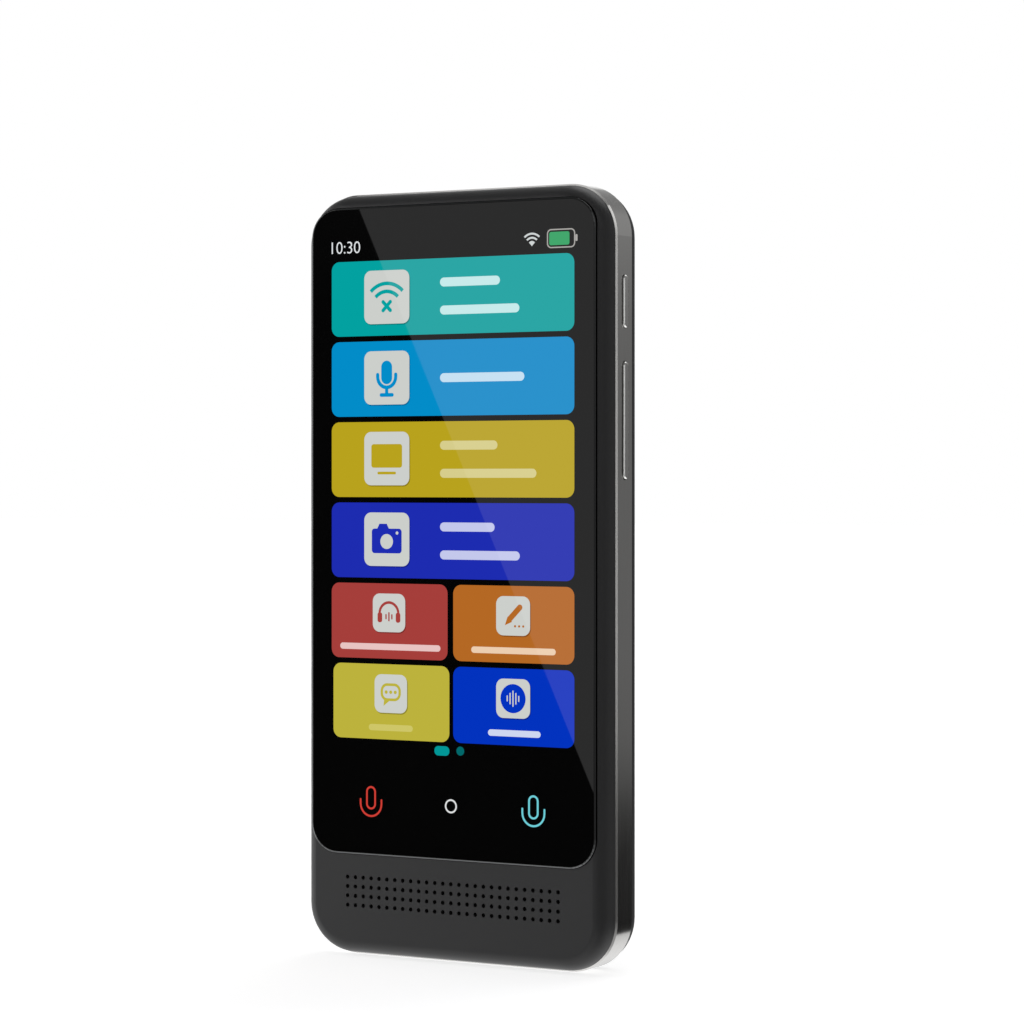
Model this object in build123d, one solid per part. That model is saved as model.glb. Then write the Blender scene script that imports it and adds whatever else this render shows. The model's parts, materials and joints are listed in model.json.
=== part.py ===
"""Handheld translator: a touch-screen bar with a metal side band, side keys and a rear camera.

Millimetres. X runs to the right of someone facing the screen, Y from the screen to the back
and Z up the long side. The origin is under the middle of the bottom edge.
"""

from build123d import *
import math
import os

# ---------------------------------------------------------------- driving sizes
body_width = 75.0
body_height = 163.4
body_corner_r = 11.0
band_depth = 6.8
band_wall = 1.6
band_chamfer = 0.35
front_rise = 4.3
rear_rise = 4.7
edge_inset = 0.35
front_curve = 3.0
rear_curve = 3.5

# display stack, from the screen backwards
glass_side_margin = 2.5
glass_top_margin = 3.2
chin_height = 22.0
glass_corner_r = 6.2
glass_thick = 1.1
glass_proud = 0.4
glass_gap = 0.15
bond_thick = 0.2
bond_inset = 0.3
ledge_thick = 0.7
lcd_side_border = 3.0
lcd_bottom_border = 4.7
lcd_top_border = 3.7
lcd_thick = 1.1
lcd_gap = 0.3
lcd_corner_r = 0.8
backlight_thick = 1.3
backlight_step = 1.5
cushion_thick = 0.8
cushion_inset = 3.0
cushion_top_gap = 18.8
cushion_frame = 8.0
plate_thick = 0.7
plate_side_gap = 5.1
plate_top_gap = 5.2
plate_corner_r = 4.0
flex_slot_width = 14.0
flex_slot_height = 4.4
flex_slot_drop = 5.3
display_flex_width = 12.0
flange_thick = 1.2
flange_width = 4.9

# front housing
housing_wall = 2.9
lip_gap = 0.1
column_r = 1.6
column_inset = 3.3
column_rows = 3
column_low_z = 30.0
column_key_gap = 9.2
column_top_x = 16.0
grille_columns = 27
grille_rows = 4
grille_pitch = 2.0
grille_drop = 8.05
grille_hole_r = 0.45
grille_skin = 1.0

# frame crossbars
crossbar_width = 2.6
crossbar_chin_gap = 0.3
crossbar_overlap = 0.5

# rear cover
cover_wall = 1.4
cover_lip = 1.5
rib_height = 1.0
rib_thick = 0.9
rib_pitch = 18.0
rib_count = 5
rib_end_gap = 5.0
hook_length = 6.0
hook_proud = 0.35
hook_height = 0.8
hook_gap = 0.12
hook_edge = 0.25
hook_x = 20.0

# camera window and module
window_width = 53.6
window_height = 11.2
window_corner_r = 3.6
window_drop = 15.3
window_thick = 0.9
window_sunk = 0.15
window_gap = 0.12
window_bond = 0.1
window_pad_margin = 1.3
window_pad_thick = 1.05
window_rim_chamfer = 0.3
lens_opening_r = 3.7
camera_size = 8.6
camera_board_thick = 0.5
camera_holder_thick = 3.2
sensor_opening = 4.6
barrel_r = 3.1
barrel_gap = 0.05
barrel_bore_r = 1.6
barrel_lift = 0.9
lens_r = 2.2
lens_thick = 0.9
lens_sunk = 0.2
lens_dome_r = 6.0
lens_clearance = 1.75
focus_travel = 0.3

# side keys
key_width = 1.9
key_proud = 0.45
key_gap = 0.13
key_edge_r = 0.35
power_drop = 24.5
power_length = 10.9
power_travel = 0.3
power_flange_thick = 0.7
power_flange_extra = 0.9
power_flange_side = 0.5
wall_gap = 0.05
volume_drop = 49.1
volume_length = 24.2
volume_depth = 2.75
rocker_tilt_deg = 1.2
rocker_arm = 9.0
hub_length = 4.4
hub_r = 1.2
pivot_depth = 3.0
pin_r = 0.5
pin_gap = 0.05
nub_r = 0.7
nub_length = 0.55
nub_gap = 0.05
plunger_r = 0.8
plunger_gap = 0.06
plunger_length = 0.85
plunger_show = 0.3
switch_long = 4.0
switch_wide = 2.4
switch_thick = 1.2
flex_thick = 0.15
key_flex_width = 2.6
key_flex_neck = 1.6
key_flex_end_gap = 1.8
key_tail_width = 4.0
bracket_thick = 0.5
bracket_front = 1.5
bracket_rear = 1.55
bracket_low_gap = 2.8
bracket_high_gap = 5.45
bracket_tab = 4.6
bracket_ear_thick = 0.45
pocket_gap = 0.4

# boards
board_thick = 0.8
board_side_gap = 3.5
board_key_gap = 1.55
board_mic_gap = 0.2
main_board_height = 50.2
board_corner_r = 2.0
board_edge_gap = 0.5
board_hole_gap = 0.15
standoff_r = 1.6
standoff_height = 2.0
standoff_left = 6.0
standoff_right = 7.5
standoff_low = 9.0
standoff_high = 35.5
sub_board_front = 1.63
sub_board_low_z = 3.2
sub_board_gap = 0.4
sub_board_inset = 0.3
sub_boss_inset = 4.9
sub_boss_z = 13.0
boss_r = 1.65

# parts on the boards
chip_row = 21.6
processor_x = -8.0
processor_width = 14.0
processor_height = 12.0
processor_thick = 1.0
memory_x = 8.0
memory_width = 11.0
memory_height = 10.0
memory_thick = 0.9
shield_wall = 0.2
shield_depth = 1.6
shield_corner_r = 1.2
processor_shield_x = -1.0
processor_shield_width = 34.0
processor_shield_height = 18.0
radio_shield_side = 20.0
radio_shield_drop = 10.1
radio_shield_width = 16.0
radio_shield_height = 14.0
pad_thick = 0.4
pad_width = 18.0
pad_height = 14.0
antenna_side = 16.0
antenna_rise = 11.6
antenna_width = 16.0
antenna_height = 9.0
antenna_wall = 1.0
antenna_gap = 0.4
antenna_sheet = 0.2
connector_height = 0.9
connector_depth = 2.4
connector_rise = 2.6
battery_connector_x = 12.0
battery_connector_width = 6.0
link_connector_width = 7.0
link_connector_side = 2.0
key_connector_side = 5.5
side_connector_length = 5.0
camera_connector_gap = 5.2
camera_connector_width = 4.0
display_connector_width = 11.0
display_connector_drop = 7.5

# battery
battery_side_gap = 10.5
battery_low_gap = 1.0
battery_high_gap = 1.4
battery_board_gap = 2.1
battery_thick = 7.6
battery_corner_r = 2.5
battery_edge_r = 1.2
tape_thick = 0.15
tape_width = 12.0
tape_inset = 12.0
tape_end_gap = 4.6
foam_size = 7.0
lead_width = 5.2
lead_thick = 0.4
link_flex_near = 0.8
link_flex_far = 5.0

# speaker
speaker_edge = 2.5
speaker_fit = 0.2
speaker_back = 4.5
speaker_wall = 1.0
speaker_corner_r = 2.0
mesh_thick = 0.15
gasket_thick = 0.85
gasket_width = 1.5
cone_end_margin = 8.5
cone_side_margin = 1.5
cone_sunk = 0.3
cone_roll = 1.5
magnet_width = 16.0
magnet_height = 6.4
contact_thick = 0.3
contact_width = 1.6
contact_x = (18.0, 22.0)

# port and microphones
port_width = 9.2
port_height = 3.5
shell_width = 8.94
shell_height = 3.26
shell_wall = 0.3
shell_floor = 0.8
shell_sunk = 0.2
shell_length = 7.4
tongue_width = 6.6
tongue_thick = 0.7
tongue_sunk = 1.2
mic_x = 14.0
mic_top_x = -22.0
mic_hole_r = 0.5
mic_port_r = 0.4
mic_port_depth = 0.3
mic_r = 1.5
mic_thick = 1.3
mic_stand_off = 1.2
mic_boot_size = 4.4
mic_boot_wall = 0.8

# screws
screw_r = 0.7
screw_gap = 0.025
screw_bite = 2.4
screw_tip_gap = 0.2
screw_head_r = 1.25
screw_head_thick = 0.6
screw_slot = 0.3
screw_slot_depth = 0.3
screw_slot_half = 0.7

# ---------------------------------------------------------------- depths along Y
band_front = -band_depth / 2
band_rear = band_depth / 2
face_front = band_front - front_rise
face_rear = band_rear + rear_rise
glass_front = face_front - glass_proud
glass_back = glass_front + glass_thick
ledge_front = glass_back + bond_thick
ledge_back = ledge_front + ledge_thick
lcd_back = ledge_front + lcd_thick
backlight_back = lcd_back + backlight_thick
plate_front = backlight_back + cushion_thick
plate_back = plate_front + plate_thick
flange_back = plate_back + flange_thick
cover_inner = face_rear - cover_wall
board_front = plate_back + standoff_height
board_back = board_front + board_thick
battery_front = plate_back + tape_thick
battery_back = battery_front + battery_thick
window_floor = face_rear - window_sunk - window_thick - window_bond
pad_inner = window_floor - window_pad_thick
sub_board_back = sub_board_front + board_thick
camera_front = board_back + camera_board_thick
camera_back = camera_front + camera_holder_thick
barrel_front = camera_front + barrel_lift
barrel_back = window_floor - lens_clearance - focus_travel
mesh_front = face_front + grille_skin
gasket_front = mesh_front + mesh_thick
speaker_front = gasket_front + gasket_thick
speaker_rear = speaker_front + speaker_back

# ---------------------------------------------------------------- places along X
half_width = body_width / 2
inner_wall_x = half_width - band_wall
glass_width = body_width - 2 * glass_side_margin
lcd_width = glass_width - 2 * lcd_side_border
key_inner_x = inner_wall_x - wall_gap
volume_inner_x = half_width + key_proud - volume_depth
nub_tip_x = volume_inner_x - nub_length
plunger_tip_x = nub_tip_x - nub_gap
pivot_x = half_width - pivot_depth
switch_front_x = plunger_tip_x - plunger_show
switch_back_x = switch_front_x - switch_thick
bracket_outer_x = switch_back_x - flex_thick
bracket_inner_x = bracket_outer_x - bracket_thick
key_pocket_x = bracket_inner_x - pocket_gap
main_board_left = board_side_gap - half_width
main_board_right = key_pocket_x - board_key_gap
sub_boss_x = half_width - sub_boss_inset
battery_width = body_width - 2 * battery_side_gap
link_connector_x = -(battery_width / 2 + link_connector_side)
camera_connector_x = camera_size / 2 + camera_connector_gap
speaker_width = (grille_columns - 1) * grille_pitch + 2 * speaker_edge
speaker_height = (grille_rows - 1) * grille_pitch + 2 * speaker_edge
cone_width = speaker_width - 2 * cone_end_margin
cone_height = speaker_height - 2 * cone_side_margin

# ---------------------------------------------------------------- places along Z
glass_bottom = chin_height
glass_top = body_height - glass_top_margin
glass_height = glass_top - glass_bottom
glass_mid_z = (glass_top + glass_bottom) / 2
lcd_bottom = glass_bottom + lcd_bottom_border
lcd_top = glass_top - lcd_top_border
lcd_height = lcd_top - lcd_bottom
lcd_mid_z = (lcd_top + lcd_bottom) / 2
flex_slot_z = lcd_top - flex_slot_drop
grille_z = chin_height - grille_drop
window_z = body_height - window_drop
power_z = body_height - power_drop
volume_z = body_height - volume_drop
key_tail_z = (power_z + volume_z + rocker_arm) / 2
bracket_low_z = volume_z - volume_length / 2 - bracket_low_gap
bracket_high_z = power_z + power_length / 2 + bracket_high_gap
main_board_high_z = body_height - band_wall - mic_boot_size - board_mic_gap
main_board_low_z = main_board_high_z - main_board_height
chip_row_z = main_board_low_z + chip_row
connector_row_z = main_board_low_z + connector_rise
crossbar_low_z = chin_height + crossbar_chin_gap
crossbar_high_z = main_board_low_z - battery_board_gap
plate_bottom = crossbar_low_z - crossbar_overlap
plate_top = body_height - plate_top_gap
sub_board_high_z = crossbar_low_z - crossbar_width / 2 - sub_board_gap
battery_low_z = crossbar_low_z + crossbar_width / 2 + battery_low_gap
battery_high_z = crossbar_high_z - crossbar_width / 2 - battery_high_gap
battery_mid_z = (battery_high_z + battery_low_z) / 2
battery_height = battery_high_z - battery_low_z
corner_reach = (body_corner_r - band_wall - 1.7) / math.sqrt(2)
corner_screw_x = half_width - body_corner_r + corner_reach
corner_screw_z = body_corner_r - corner_reach


def spread(first, last, count):
    """Evenly spaced places from first to last."""
    return [first + i * (last - first) / (count - 1) for i in range(count)]


column_z = spread(column_low_z, bracket_low_z - column_key_gap, column_rows)
hook_z = [(low + high) / 2 for low, high in zip(column_z, column_z[1:])]
rib_columns = spread(-rib_pitch, rib_pitch, 3)
rib_rows = spread(battery_low_z + rib_end_gap, battery_high_z - rib_end_gap, rib_count)
standoff_points = [
    (x, main_board_low_z + rise)
    for x in (main_board_left + standoff_left, main_board_right - standoff_right)
    for rise in (standoff_low, standoff_high)
]

FRONT = dict(x_dir=(1, 0, 0), z_dir=(0, -1, 0))


# ---------------------------------------------------------------- helpers
def slab(width, height, y0, y1, radius=0.0, x=0.0, z=0.0):
    """A flat piece between two depths, with rounded corners as seen from the front."""
    face = RectangleRounded(width, height, radius) if radius else Rectangle(width, height)
    return extrude(Plane((x, y1, z), **FRONT) * face, amount=y1 - y0)


def body_slab(inset, y0, y1):
    """A flat piece with the body's outline moved inwards by inset."""
    width = body_width - 2 * inset
    height = body_height - 2 * inset
    return slab(width, height, y0, y1, body_corner_r - inset, 0, body_height / 2)


def block(x0, x1, y0, y1, z0, z1):
    """A plain box between two corners."""
    centre = Pos((x0 + x1) / 2, (y0 + y1) / 2, (z0 + z1) / 2)
    return centre * Box(x1 - x0, y1 - y0, z1 - z0)


def rod_x(radius, x0, x1, y, z):
    return Pos((x0 + x1) / 2, y, z) * Rot(0, 90, 0) * Cylinder(radius, x1 - x0)


def rod_y(radius, y0, y1, x, z):
    return Pos(x, (y0 + y1) / 2, z) * Rot(90, 0, 0) * Cylinder(radius, y1 - y0)


def rod_z(radius, z0, z1, x, y):
    return Pos(x, y, (z0 + z1) / 2) * Cylinder(radius, z1 - z0)


def ribbon(points, thick, x0, x1):
    """A flat cable: a bent strip of (y, z) points, from x0 to x1."""
    side = Plane((x0, 0, 0), x_dir=(0, 1, 0), z_dir=(1, 0, 0))
    return extrude(side * trace(Polyline(*points), line_width=thick), amount=x1 - x0)


def save(name, shape):
    """Writes one node, with its solids side by side when it has several."""
    shape.label = name
    export_step(shape, f"parts/{name}.step")


def group(shapes):
    """Several separate solids that share a node."""
    return Compound(children=[solid for shape in shapes for solid in shape.solids()])


# ---------------------------------------------------------------- outer shells
def housing_block(y_band, y_face, reach):
    """A solid half: upright at the band, curved in by reach to its flat face, as a quarter ellipse."""
    inset = edge_inset + reach
    half_x = half_width - inset
    half_z = body_height / 2 - inset
    radius = body_corner_r - inset
    flat_x = half_x - radius
    flat_z = half_z - radius
    loop = Wire([
        Line((half_x, 0), (half_x, flat_z)),
        CenterArc((flat_x, flat_z), radius, 0, 90),
        Line((flat_x, half_z), (-flat_x, half_z)),
        CenterArc((-flat_x, flat_z), radius, 90, 90),
        Line((-half_x, flat_z), (-half_x, -flat_z)),
        CenterArc((-flat_x, -flat_z), radius, 180, 90),
        Line((-flat_x, -half_z), (flat_x, -half_z)),
        CenterArc((flat_x, -flat_z), radius, 270, 90),
        Line((half_x, -flat_z), (half_x, 0)),
    ])
    path = Plane((0, y_face, body_height / 2), **FRONT) * loop
    side = 1 if y_face > y_band else -1
    rise = abs(y_face - y_band)
    curve = EllipticalCenterArc((0, -side * rise), reach, rise, start_angle=0, arc_size=90 * side)
    waste = Polyline(
        (reach, -side * rise),
        (reach + 1, -side * rise),
        (reach + 1, side),
        (0, side),
        (0, 0),
    )
    start = Plane((half_x, y_face, body_height / 2), x_dir=(1, 0, 0), z_dir=(0, 0, 1))
    cutter = sweep(start * make_face([curve, waste]), path=path)
    return body_slab(edge_inset, min(y_band, y_face), max(y_band, y_face)) - cutter


def housing_screw_points():
    """Where the screws join frame and front housing, as (x, z)."""
    side_x = half_width - column_inset
    points = [(side * side_x, z) for z in column_z for side in (-1, 1)]
    points += [(side * corner_screw_x, corner_screw_z) for side in (-1, 1)]
    points += [(side * column_top_x, body_height - column_inset) for side in (-1, 1)]
    return points


def grille_points():
    """The speaker holes' places, as (x, z)."""
    columns = [(i - (grille_columns - 1) / 2) * grille_pitch for i in range(grille_columns)]
    rows = [grille_z + (j - (grille_rows - 1) / 2) * grille_pitch for j in range(grille_rows)]
    return [(x, z) for z in rows for x in columns]


def make_front_housing():
    """Moulded front with the glass pocket, the display opening and the speaker grille."""
    lip_inset = band_wall + lip_gap
    body = housing_block(band_front, face_front, front_curve)
    body += body_slab(lip_inset, band_front, plate_back)
    body -= body_slab(housing_wall, ledge_back, plate_back)
    gap = 2 * glass_gap
    body -= slab(glass_width + gap, glass_height + gap, face_front - 1, ledge_front,
                 glass_corner_r + glass_gap, 0, glass_mid_z)
    gap = 2 * lcd_gap
    body -= slab(lcd_width + gap, lcd_height + gap, ledge_front - 1, ledge_back,
                 lcd_corner_r + lcd_gap, 0, lcd_mid_z)
    for x, z in housing_screw_points():
        body += rod_y(column_r, ledge_back, plate_back, x, z)
    for x, z in housing_screw_points():
        hole_front = plate_back - screw_bite - screw_tip_gap
        body -= rod_y(screw_r + screw_gap, hole_front, plate_back, x, z)
    gap = 2 * speaker_fit
    body -= slab(speaker_width + gap, speaker_height + gap, mesh_front, ledge_back,
                 speaker_corner_r, 0, grille_z)
    holes = Sketch() + [Pos(x, z) * Circle(grille_hole_r) for x, z in grille_points()]
    behind_skin = Plane((0, mesh_front, 0), **FRONT)
    return body - extrude(behind_skin * holes, amount=grille_skin)


def key_slot(z, length, extra):
    """The opening in the band for a side key."""
    width = key_width + 2 * key_gap
    height = length + 2 * extra
    face = Plane((inner_wall_x - 1, 0, z), x_dir=(0, 1, 0), z_dir=(1, 0, 0))
    return extrude(face * RectangleRounded(width, height, width / 2 - 0.01), amount=band_wall + 2)


def rocker_slot_gap():
    """Room at the ends of the volume key for its swing."""
    reach = half_width + key_proud - pivot_x
    return key_gap + reach * math.sin(math.radians(rocker_tilt_deg))


def hook_places():
    """The snap hooks' places on the outline, as (x, z, faces sideways)."""
    places = [(side, z, True) for z in hook_z for side in (-1, 1)]
    places += [(x, side, False) for x in (-hook_x, hook_x) for side in (-1, 1)]
    return places


def hook_bars(grow):
    """Snap hooks on the cover's lip, or with grow the grooves for them in the band."""
    start = half_width - band_wall - lip_gap
    y1 = band_rear - hook_edge + grow
    y0 = y1 - hook_height - 2 * grow
    bars = []
    for place_x, place_z, sideways in hook_places():
        half = hook_length / 2 + grow
        depth = lip_gap + hook_proud + grow
        if sideways:
            bar = block(start - 0.3, start + depth, y0, y1, place_z - half, place_z + half)
            bars.append(bar if place_x > 0 else mirror(bar, Plane.YZ))
        else:
            top = body_height - band_wall - lip_gap
            bar = block(place_x - half, place_x + half, y0, y1, top - 0.3, top + depth)
            middle = Plane((0, 0, body_height / 2), x_dir=(1, 0, 0), z_dir=(0, 0, 1))
            bars.append(bar if place_z > 0 else mirror(bar, middle))
    return bars


def bracket_screw_points():
    """The key bracket's two screws, as (x, z)."""
    x = bracket_outer_x - 0.2
    half_tab = bracket_tab / 2
    return [(x, bracket_low_z - half_tab), (x, bracket_high_z + half_tab)]


def make_mid_frame():
    """Metal side band with its inner flange, crossbars, bosses and openings."""
    frame = body_slab(0, band_front, band_rear)
    rims = frame.edges().group_by(Axis.Y)
    frame = chamfer(rims[0] + rims[-1], band_chamfer)
    frame -= body_slab(band_wall, band_front, band_rear)
    flange = body_slab(band_wall, plate_back, flange_back)
    flange -= body_slab(band_wall + flange_width, plate_back, flange_back)
    half_open = half_width - band_wall - flange_width + 0.5
    for z in (crossbar_low_z, crossbar_high_z):
        half = crossbar_width / 2
        flange += block(-half_open, half_open, plate_back, flange_back, z - half, z + half)
    flange -= block(key_pocket_x, half_width, plate_back, flange_back,
                    bracket_low_z - pocket_gap, bracket_high_z + pocket_gap)
    for side in (-1, 1):
        flange += rod_y(boss_r, flange_back, sub_board_front, side * sub_boss_x, sub_boss_z)
    frame += flange
    for x, z in housing_screw_points():
        frame -= rod_y(screw_r + screw_gap, plate_back, flange_back, x, z)
    for x, z in bracket_screw_points():
        frame -= rod_y(screw_r + screw_gap, plate_back, flange_back, x, z)
    for side in (-1, 1):
        hole_front = sub_board_front - screw_bite
        x = side * sub_boss_x
        frame -= rod_y(screw_r + screw_gap, hole_front, sub_board_front, x, sub_boss_z)
    port = Plane((0, 0, -1), x_dir=(1, 0, 0), z_dir=(0, 0, 1))
    port_face = RectangleRounded(port_width, port_height, port_height / 2 - 0.01)
    frame -= extrude(port * port_face, amount=band_wall + 1.5)
    frame -= rod_z(mic_hole_r, -1, band_wall + 0.5, mic_x, 0)
    frame -= rod_z(mic_hole_r, body_height - band_wall - 0.5, body_height + 1, mic_top_x, 0)
    frame -= key_slot(power_z, power_length, key_gap)
    frame -= key_slot(volume_z, volume_length, rocker_slot_gap())
    for groove in hook_bars(hook_gap):
        frame -= groove
    return frame


def make_rear_cover():
    """Moulded back with the camera window's pocket, stiffening ribs and snap hooks."""
    cover = housing_block(band_rear, face_rear, rear_curve)
    cover += body_slab(band_wall + lip_gap, band_rear - cover_lip, band_rear)
    cover -= body_slab(housing_wall, band_rear - cover_lip, cover_inner)
    margin = 2 * window_pad_margin
    cover += slab(window_width + margin, window_height + margin, pad_inner, window_floor,
                  window_corner_r + window_pad_margin, 0, window_z)
    gap = 2 * window_gap
    pocket = slab(window_width + gap, window_height + gap, window_floor, face_rear + 1,
                  window_corner_r + window_gap, 0, window_z)
    cover -= pocket
    rim = [edge for edge in cover.edges() if on_window_rim(edge)]
    cover = chamfer(rim, window_rim_chamfer)
    cover -= rod_y(lens_opening_r, pad_inner, window_floor, 0, window_z)
    rib_y = cover_inner - rib_height
    half = rib_thick / 2
    reach_x = max(rib_columns) + half
    reach_z = (min(rib_rows) - half, max(rib_rows) + half)
    for x in rib_columns:
        cover += block(x - half, x + half, rib_y, cover_inner, reach_z[0], reach_z[1])
    for z in rib_rows:
        cover += block(-reach_x, reach_x, rib_y, cover_inner, z - half, z + half)
    for hook in hook_bars(0):
        cover += hook
    return cover


def on_window_rim(edge):
    """True for the outer edges of the camera window's pocket."""
    box = edge.bounding_box()
    flat = abs(box.min.Y - face_rear) < 0.01 and abs(box.max.Y - face_rear) < 0.01
    near_z = abs(box.center().Z - window_z) < window_height / 2 + 1
    near_x = abs(box.center().X) < window_width / 2 + 1
    return flat and near_z and near_x


# ---------------------------------------------------------------- display
def make_display_glass():
    glass = slab(glass_width, glass_height, glass_front, glass_back, glass_corner_r, 0, glass_mid_z)
    rim = glass.edges().group_by(Axis.Y)[0]
    return fillet(rim, glass_proud - 0.05)


def make_bezel_adhesive():
    """The ring of tape between the glass and the housing's ledge."""
    inset = 2 * bond_inset
    ring = slab(glass_width - inset, glass_height - inset, glass_back, ledge_front,
                glass_corner_r - bond_inset, 0, glass_mid_z)
    gap = 2 * lcd_gap
    return ring - slab(lcd_width + gap, lcd_height + gap, glass_back, ledge_front,
                       lcd_corner_r + lcd_gap, 0, lcd_mid_z)


def make_optical_adhesive():
    return slab(lcd_width, lcd_height, glass_back, ledge_front, lcd_corner_r, 0, lcd_mid_z)


def make_lcd_panel():
    return slab(lcd_width, lcd_height, ledge_front, lcd_back, lcd_corner_r, 0, lcd_mid_z)


def make_backlight_tray():
    """Backlight in its moulded tray, shorter than the panel at the cable's end."""
    height = lcd_height - backlight_step
    mid_z = lcd_mid_z - backlight_step / 2
    return slab(lcd_width, height, lcd_back, backlight_back, lcd_corner_r, 0, mid_z)


def make_display_cushion():
    """Foam frame that carries the display on the plate behind it."""
    width = lcd_width - 2 * cushion_inset
    height = lcd_height - cushion_inset - cushion_top_gap
    mid_z = lcd_bottom + cushion_inset + height / 2
    foam = slab(width, height, backlight_back, plate_front, 2.0, 0, mid_z)
    frame = 2 * cushion_frame
    return foam - slab(width - frame, height - frame, backlight_back, plate_front, 2.0, 0, mid_z)


def make_display_flex():
    """The display's cable: round the backlight's top edge, through the plate, to the board."""
    half = flex_thick / 2
    points = [
        (lcd_back + half, lcd_top - 1.2),
        (lcd_back + half, lcd_top + 0.1),
        (backlight_back + 0.4, lcd_top + 0.1),
        (backlight_back + 0.4, flex_slot_z + 0.5),
        (board_front - connector_height - half, flex_slot_z - 0.5),
        (board_front - connector_height - half, flex_slot_z - 3.5),
    ]
    return ribbon(points, flex_thick, -display_flex_width / 2, display_flex_width / 2)


def make_mid_plate():
    """Metal plate behind the display, with the slot for the display's cable."""
    width = body_width - 2 * plate_side_gap
    mid_z = (plate_top + plate_bottom) / 2
    plate = slab(width, plate_top - plate_bottom, plate_front, plate_back, plate_corner_r, 0, mid_z)
    return plate - slab(flex_slot_width, flex_slot_height, plate_front, plate_back, 1.0, 0, flex_slot_z)


# ---------------------------------------------------------------- boards
def make_board_standoffs():
    """Standoffs pressed on the plate, with threads for the main board's screws."""
    parts = []
    for x, z in standoff_points:
        post = rod_y(standoff_r, plate_back, board_front, x, z)
        parts.append(post - rod_y(screw_r + screw_gap, plate_back, board_front, x, z))
    return group(parts)


def make_main_board():
    width = main_board_right - main_board_left
    mid_x = (main_board_right + main_board_left) / 2
    height = main_board_high_z - main_board_low_z
    mid_z = (main_board_high_z + main_board_low_z) / 2
    board = slab(width, height, board_front, board_back, board_corner_r, mid_x, mid_z)
    board &= body_slab(band_wall + board_edge_gap, board_front, board_back)
    for x, z in standoff_points:
        board -= rod_y(screw_r + board_hole_gap, board_front, board_back, x, z)
    return board


def chip(width, height, thick, x, z):
    """A package soldered to the main board's front."""
    return slab(width, height, board_front - thick, board_front, 0, x, z)


def shield_can(width, height, x, z):
    """A pressed can over the chips, open towards the board."""
    top = board_front - shield_depth
    can = slab(width, height, top, board_front, shield_corner_r, x, z)
    inner = 2 * shield_wall
    return can - slab(width - inner, height - inner, top + shield_wall, board_front,
                      shield_corner_r - shield_wall, x, z)


def make_thermal_pad():
    """Soft pad that carries heat from the processor's can to the plate."""
    return slab(pad_width, pad_height, plate_back, plate_back + pad_thick, 1.0, processor_x, chip_row_z)


def make_board_connectors():
    """Low sockets on both boards, for the flat cables and the battery."""
    depth = connector_depth
    rear = board_back + connector_height
    parts = [
        slab(battery_connector_width, depth, board_back, rear, 0, battery_connector_x, connector_row_z),
        slab(link_connector_width, depth, board_back, rear, 0, link_connector_x, connector_row_z),
        slab(depth, side_connector_length, board_back, rear, 0,
             main_board_right - key_connector_side, key_tail_z),
        slab(camera_connector_width, side_connector_length, board_back, rear, 0,
             camera_connector_x, window_z),
    ]
    front = board_front - connector_height
    parts.append(slab(display_connector_width, depth, front, board_front, 0,
                      0, lcd_top - display_connector_drop))
    rear = sub_board_back + connector_height
    parts.append(slab(link_connector_width, depth, sub_board_back, rear, 0,
                      link_connector_x, sub_board_high_z - connector_rise))
    return group(parts)


def antenna_place():
    """The antenna's place on the main board, as (x, z)."""
    return main_board_left + antenna_side, main_board_low_z + antenna_rise


def make_antenna_carrier():
    """Hollow plastic block that holds the antenna up against the rear cover."""
    x, z = antenna_place()
    top = cover_inner - antenna_gap
    wall = 2 * antenna_wall
    carrier = slab(antenna_width, antenna_height, board_back, top, 1.0, x, z)
    return carrier - slab(antenna_width - wall, antenna_height - wall, board_back,
                          top - antenna_wall, 0.6, x, z)


def make_wifi_antenna():
    """Copper film with its tuning slot, on the carrier's top."""
    x, z = antenna_place()
    front = cover_inner - antenna_gap
    rear = front + antenna_sheet
    sheet = slab(antenna_width - 2, antenna_height - 1.6, front, rear, 0.6, x, z)
    return sheet - slab(antenna_width - 7, 1.2, front, rear, 0, x - 0.5, z)


def make_sub_board():
    """Board behind the speaker, for the port, the lower microphone and the speaker."""
    board = body_slab(housing_wall + sub_board_inset, sub_board_front, sub_board_back)
    board &= block(-half_width, half_width, sub_board_front, sub_board_back,
                   sub_board_low_z, sub_board_high_z)
    for side in (-1, 1):
        x = side * sub_boss_x
        board -= rod_y(screw_r + board_hole_gap, sub_board_front, sub_board_back, x, sub_boss_z)
    return board


def make_link_flex():
    """Long cable beside the battery, from the sub board to the main board."""
    half = flex_thick / 2
    low_y = sub_board_back + connector_height + half
    high_y = board_back + connector_height + half
    points = [
        (low_y, sub_board_high_z - connector_rise - connector_depth / 2),
        (low_y, battery_low_z + 1.6),
        (high_y, battery_high_z - 5.6),
        (high_y, connector_row_z + connector_depth / 2),
    ]
    side = battery_width / 2
    return ribbon(points, flex_thick, -side - link_flex_far, -side - link_flex_near)


# ---------------------------------------------------------------- battery
def make_battery_cell():
    """Pouch cell, its rear edges rounded."""
    cell = slab(battery_width, battery_height, battery_front, battery_back, battery_corner_r,
                0, battery_mid_z)
    return fillet(cell.edges().group_by(Axis.Y)[-1], battery_edge_r)


def make_battery_tape():
    """Two pull strips of tape under the cell."""
    x = battery_width / 2 - tape_inset
    height = battery_height - 2 * tape_end_gap
    return group([slab(tape_width, height, plate_back, battery_front, 0, side * x, battery_mid_z)
                  for side in (-1, 1)])


def make_battery_foam():
    """Foam blocks between the cell and the cover's ribs."""
    parts = []
    for x in rib_columns[::2]:
        for z in (rib_rows[1], rib_rows[3]):
            parts.append(slab(foam_size, foam_size, battery_back, cover_inner - rib_height, 0, x, z))
    return group(parts)


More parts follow.
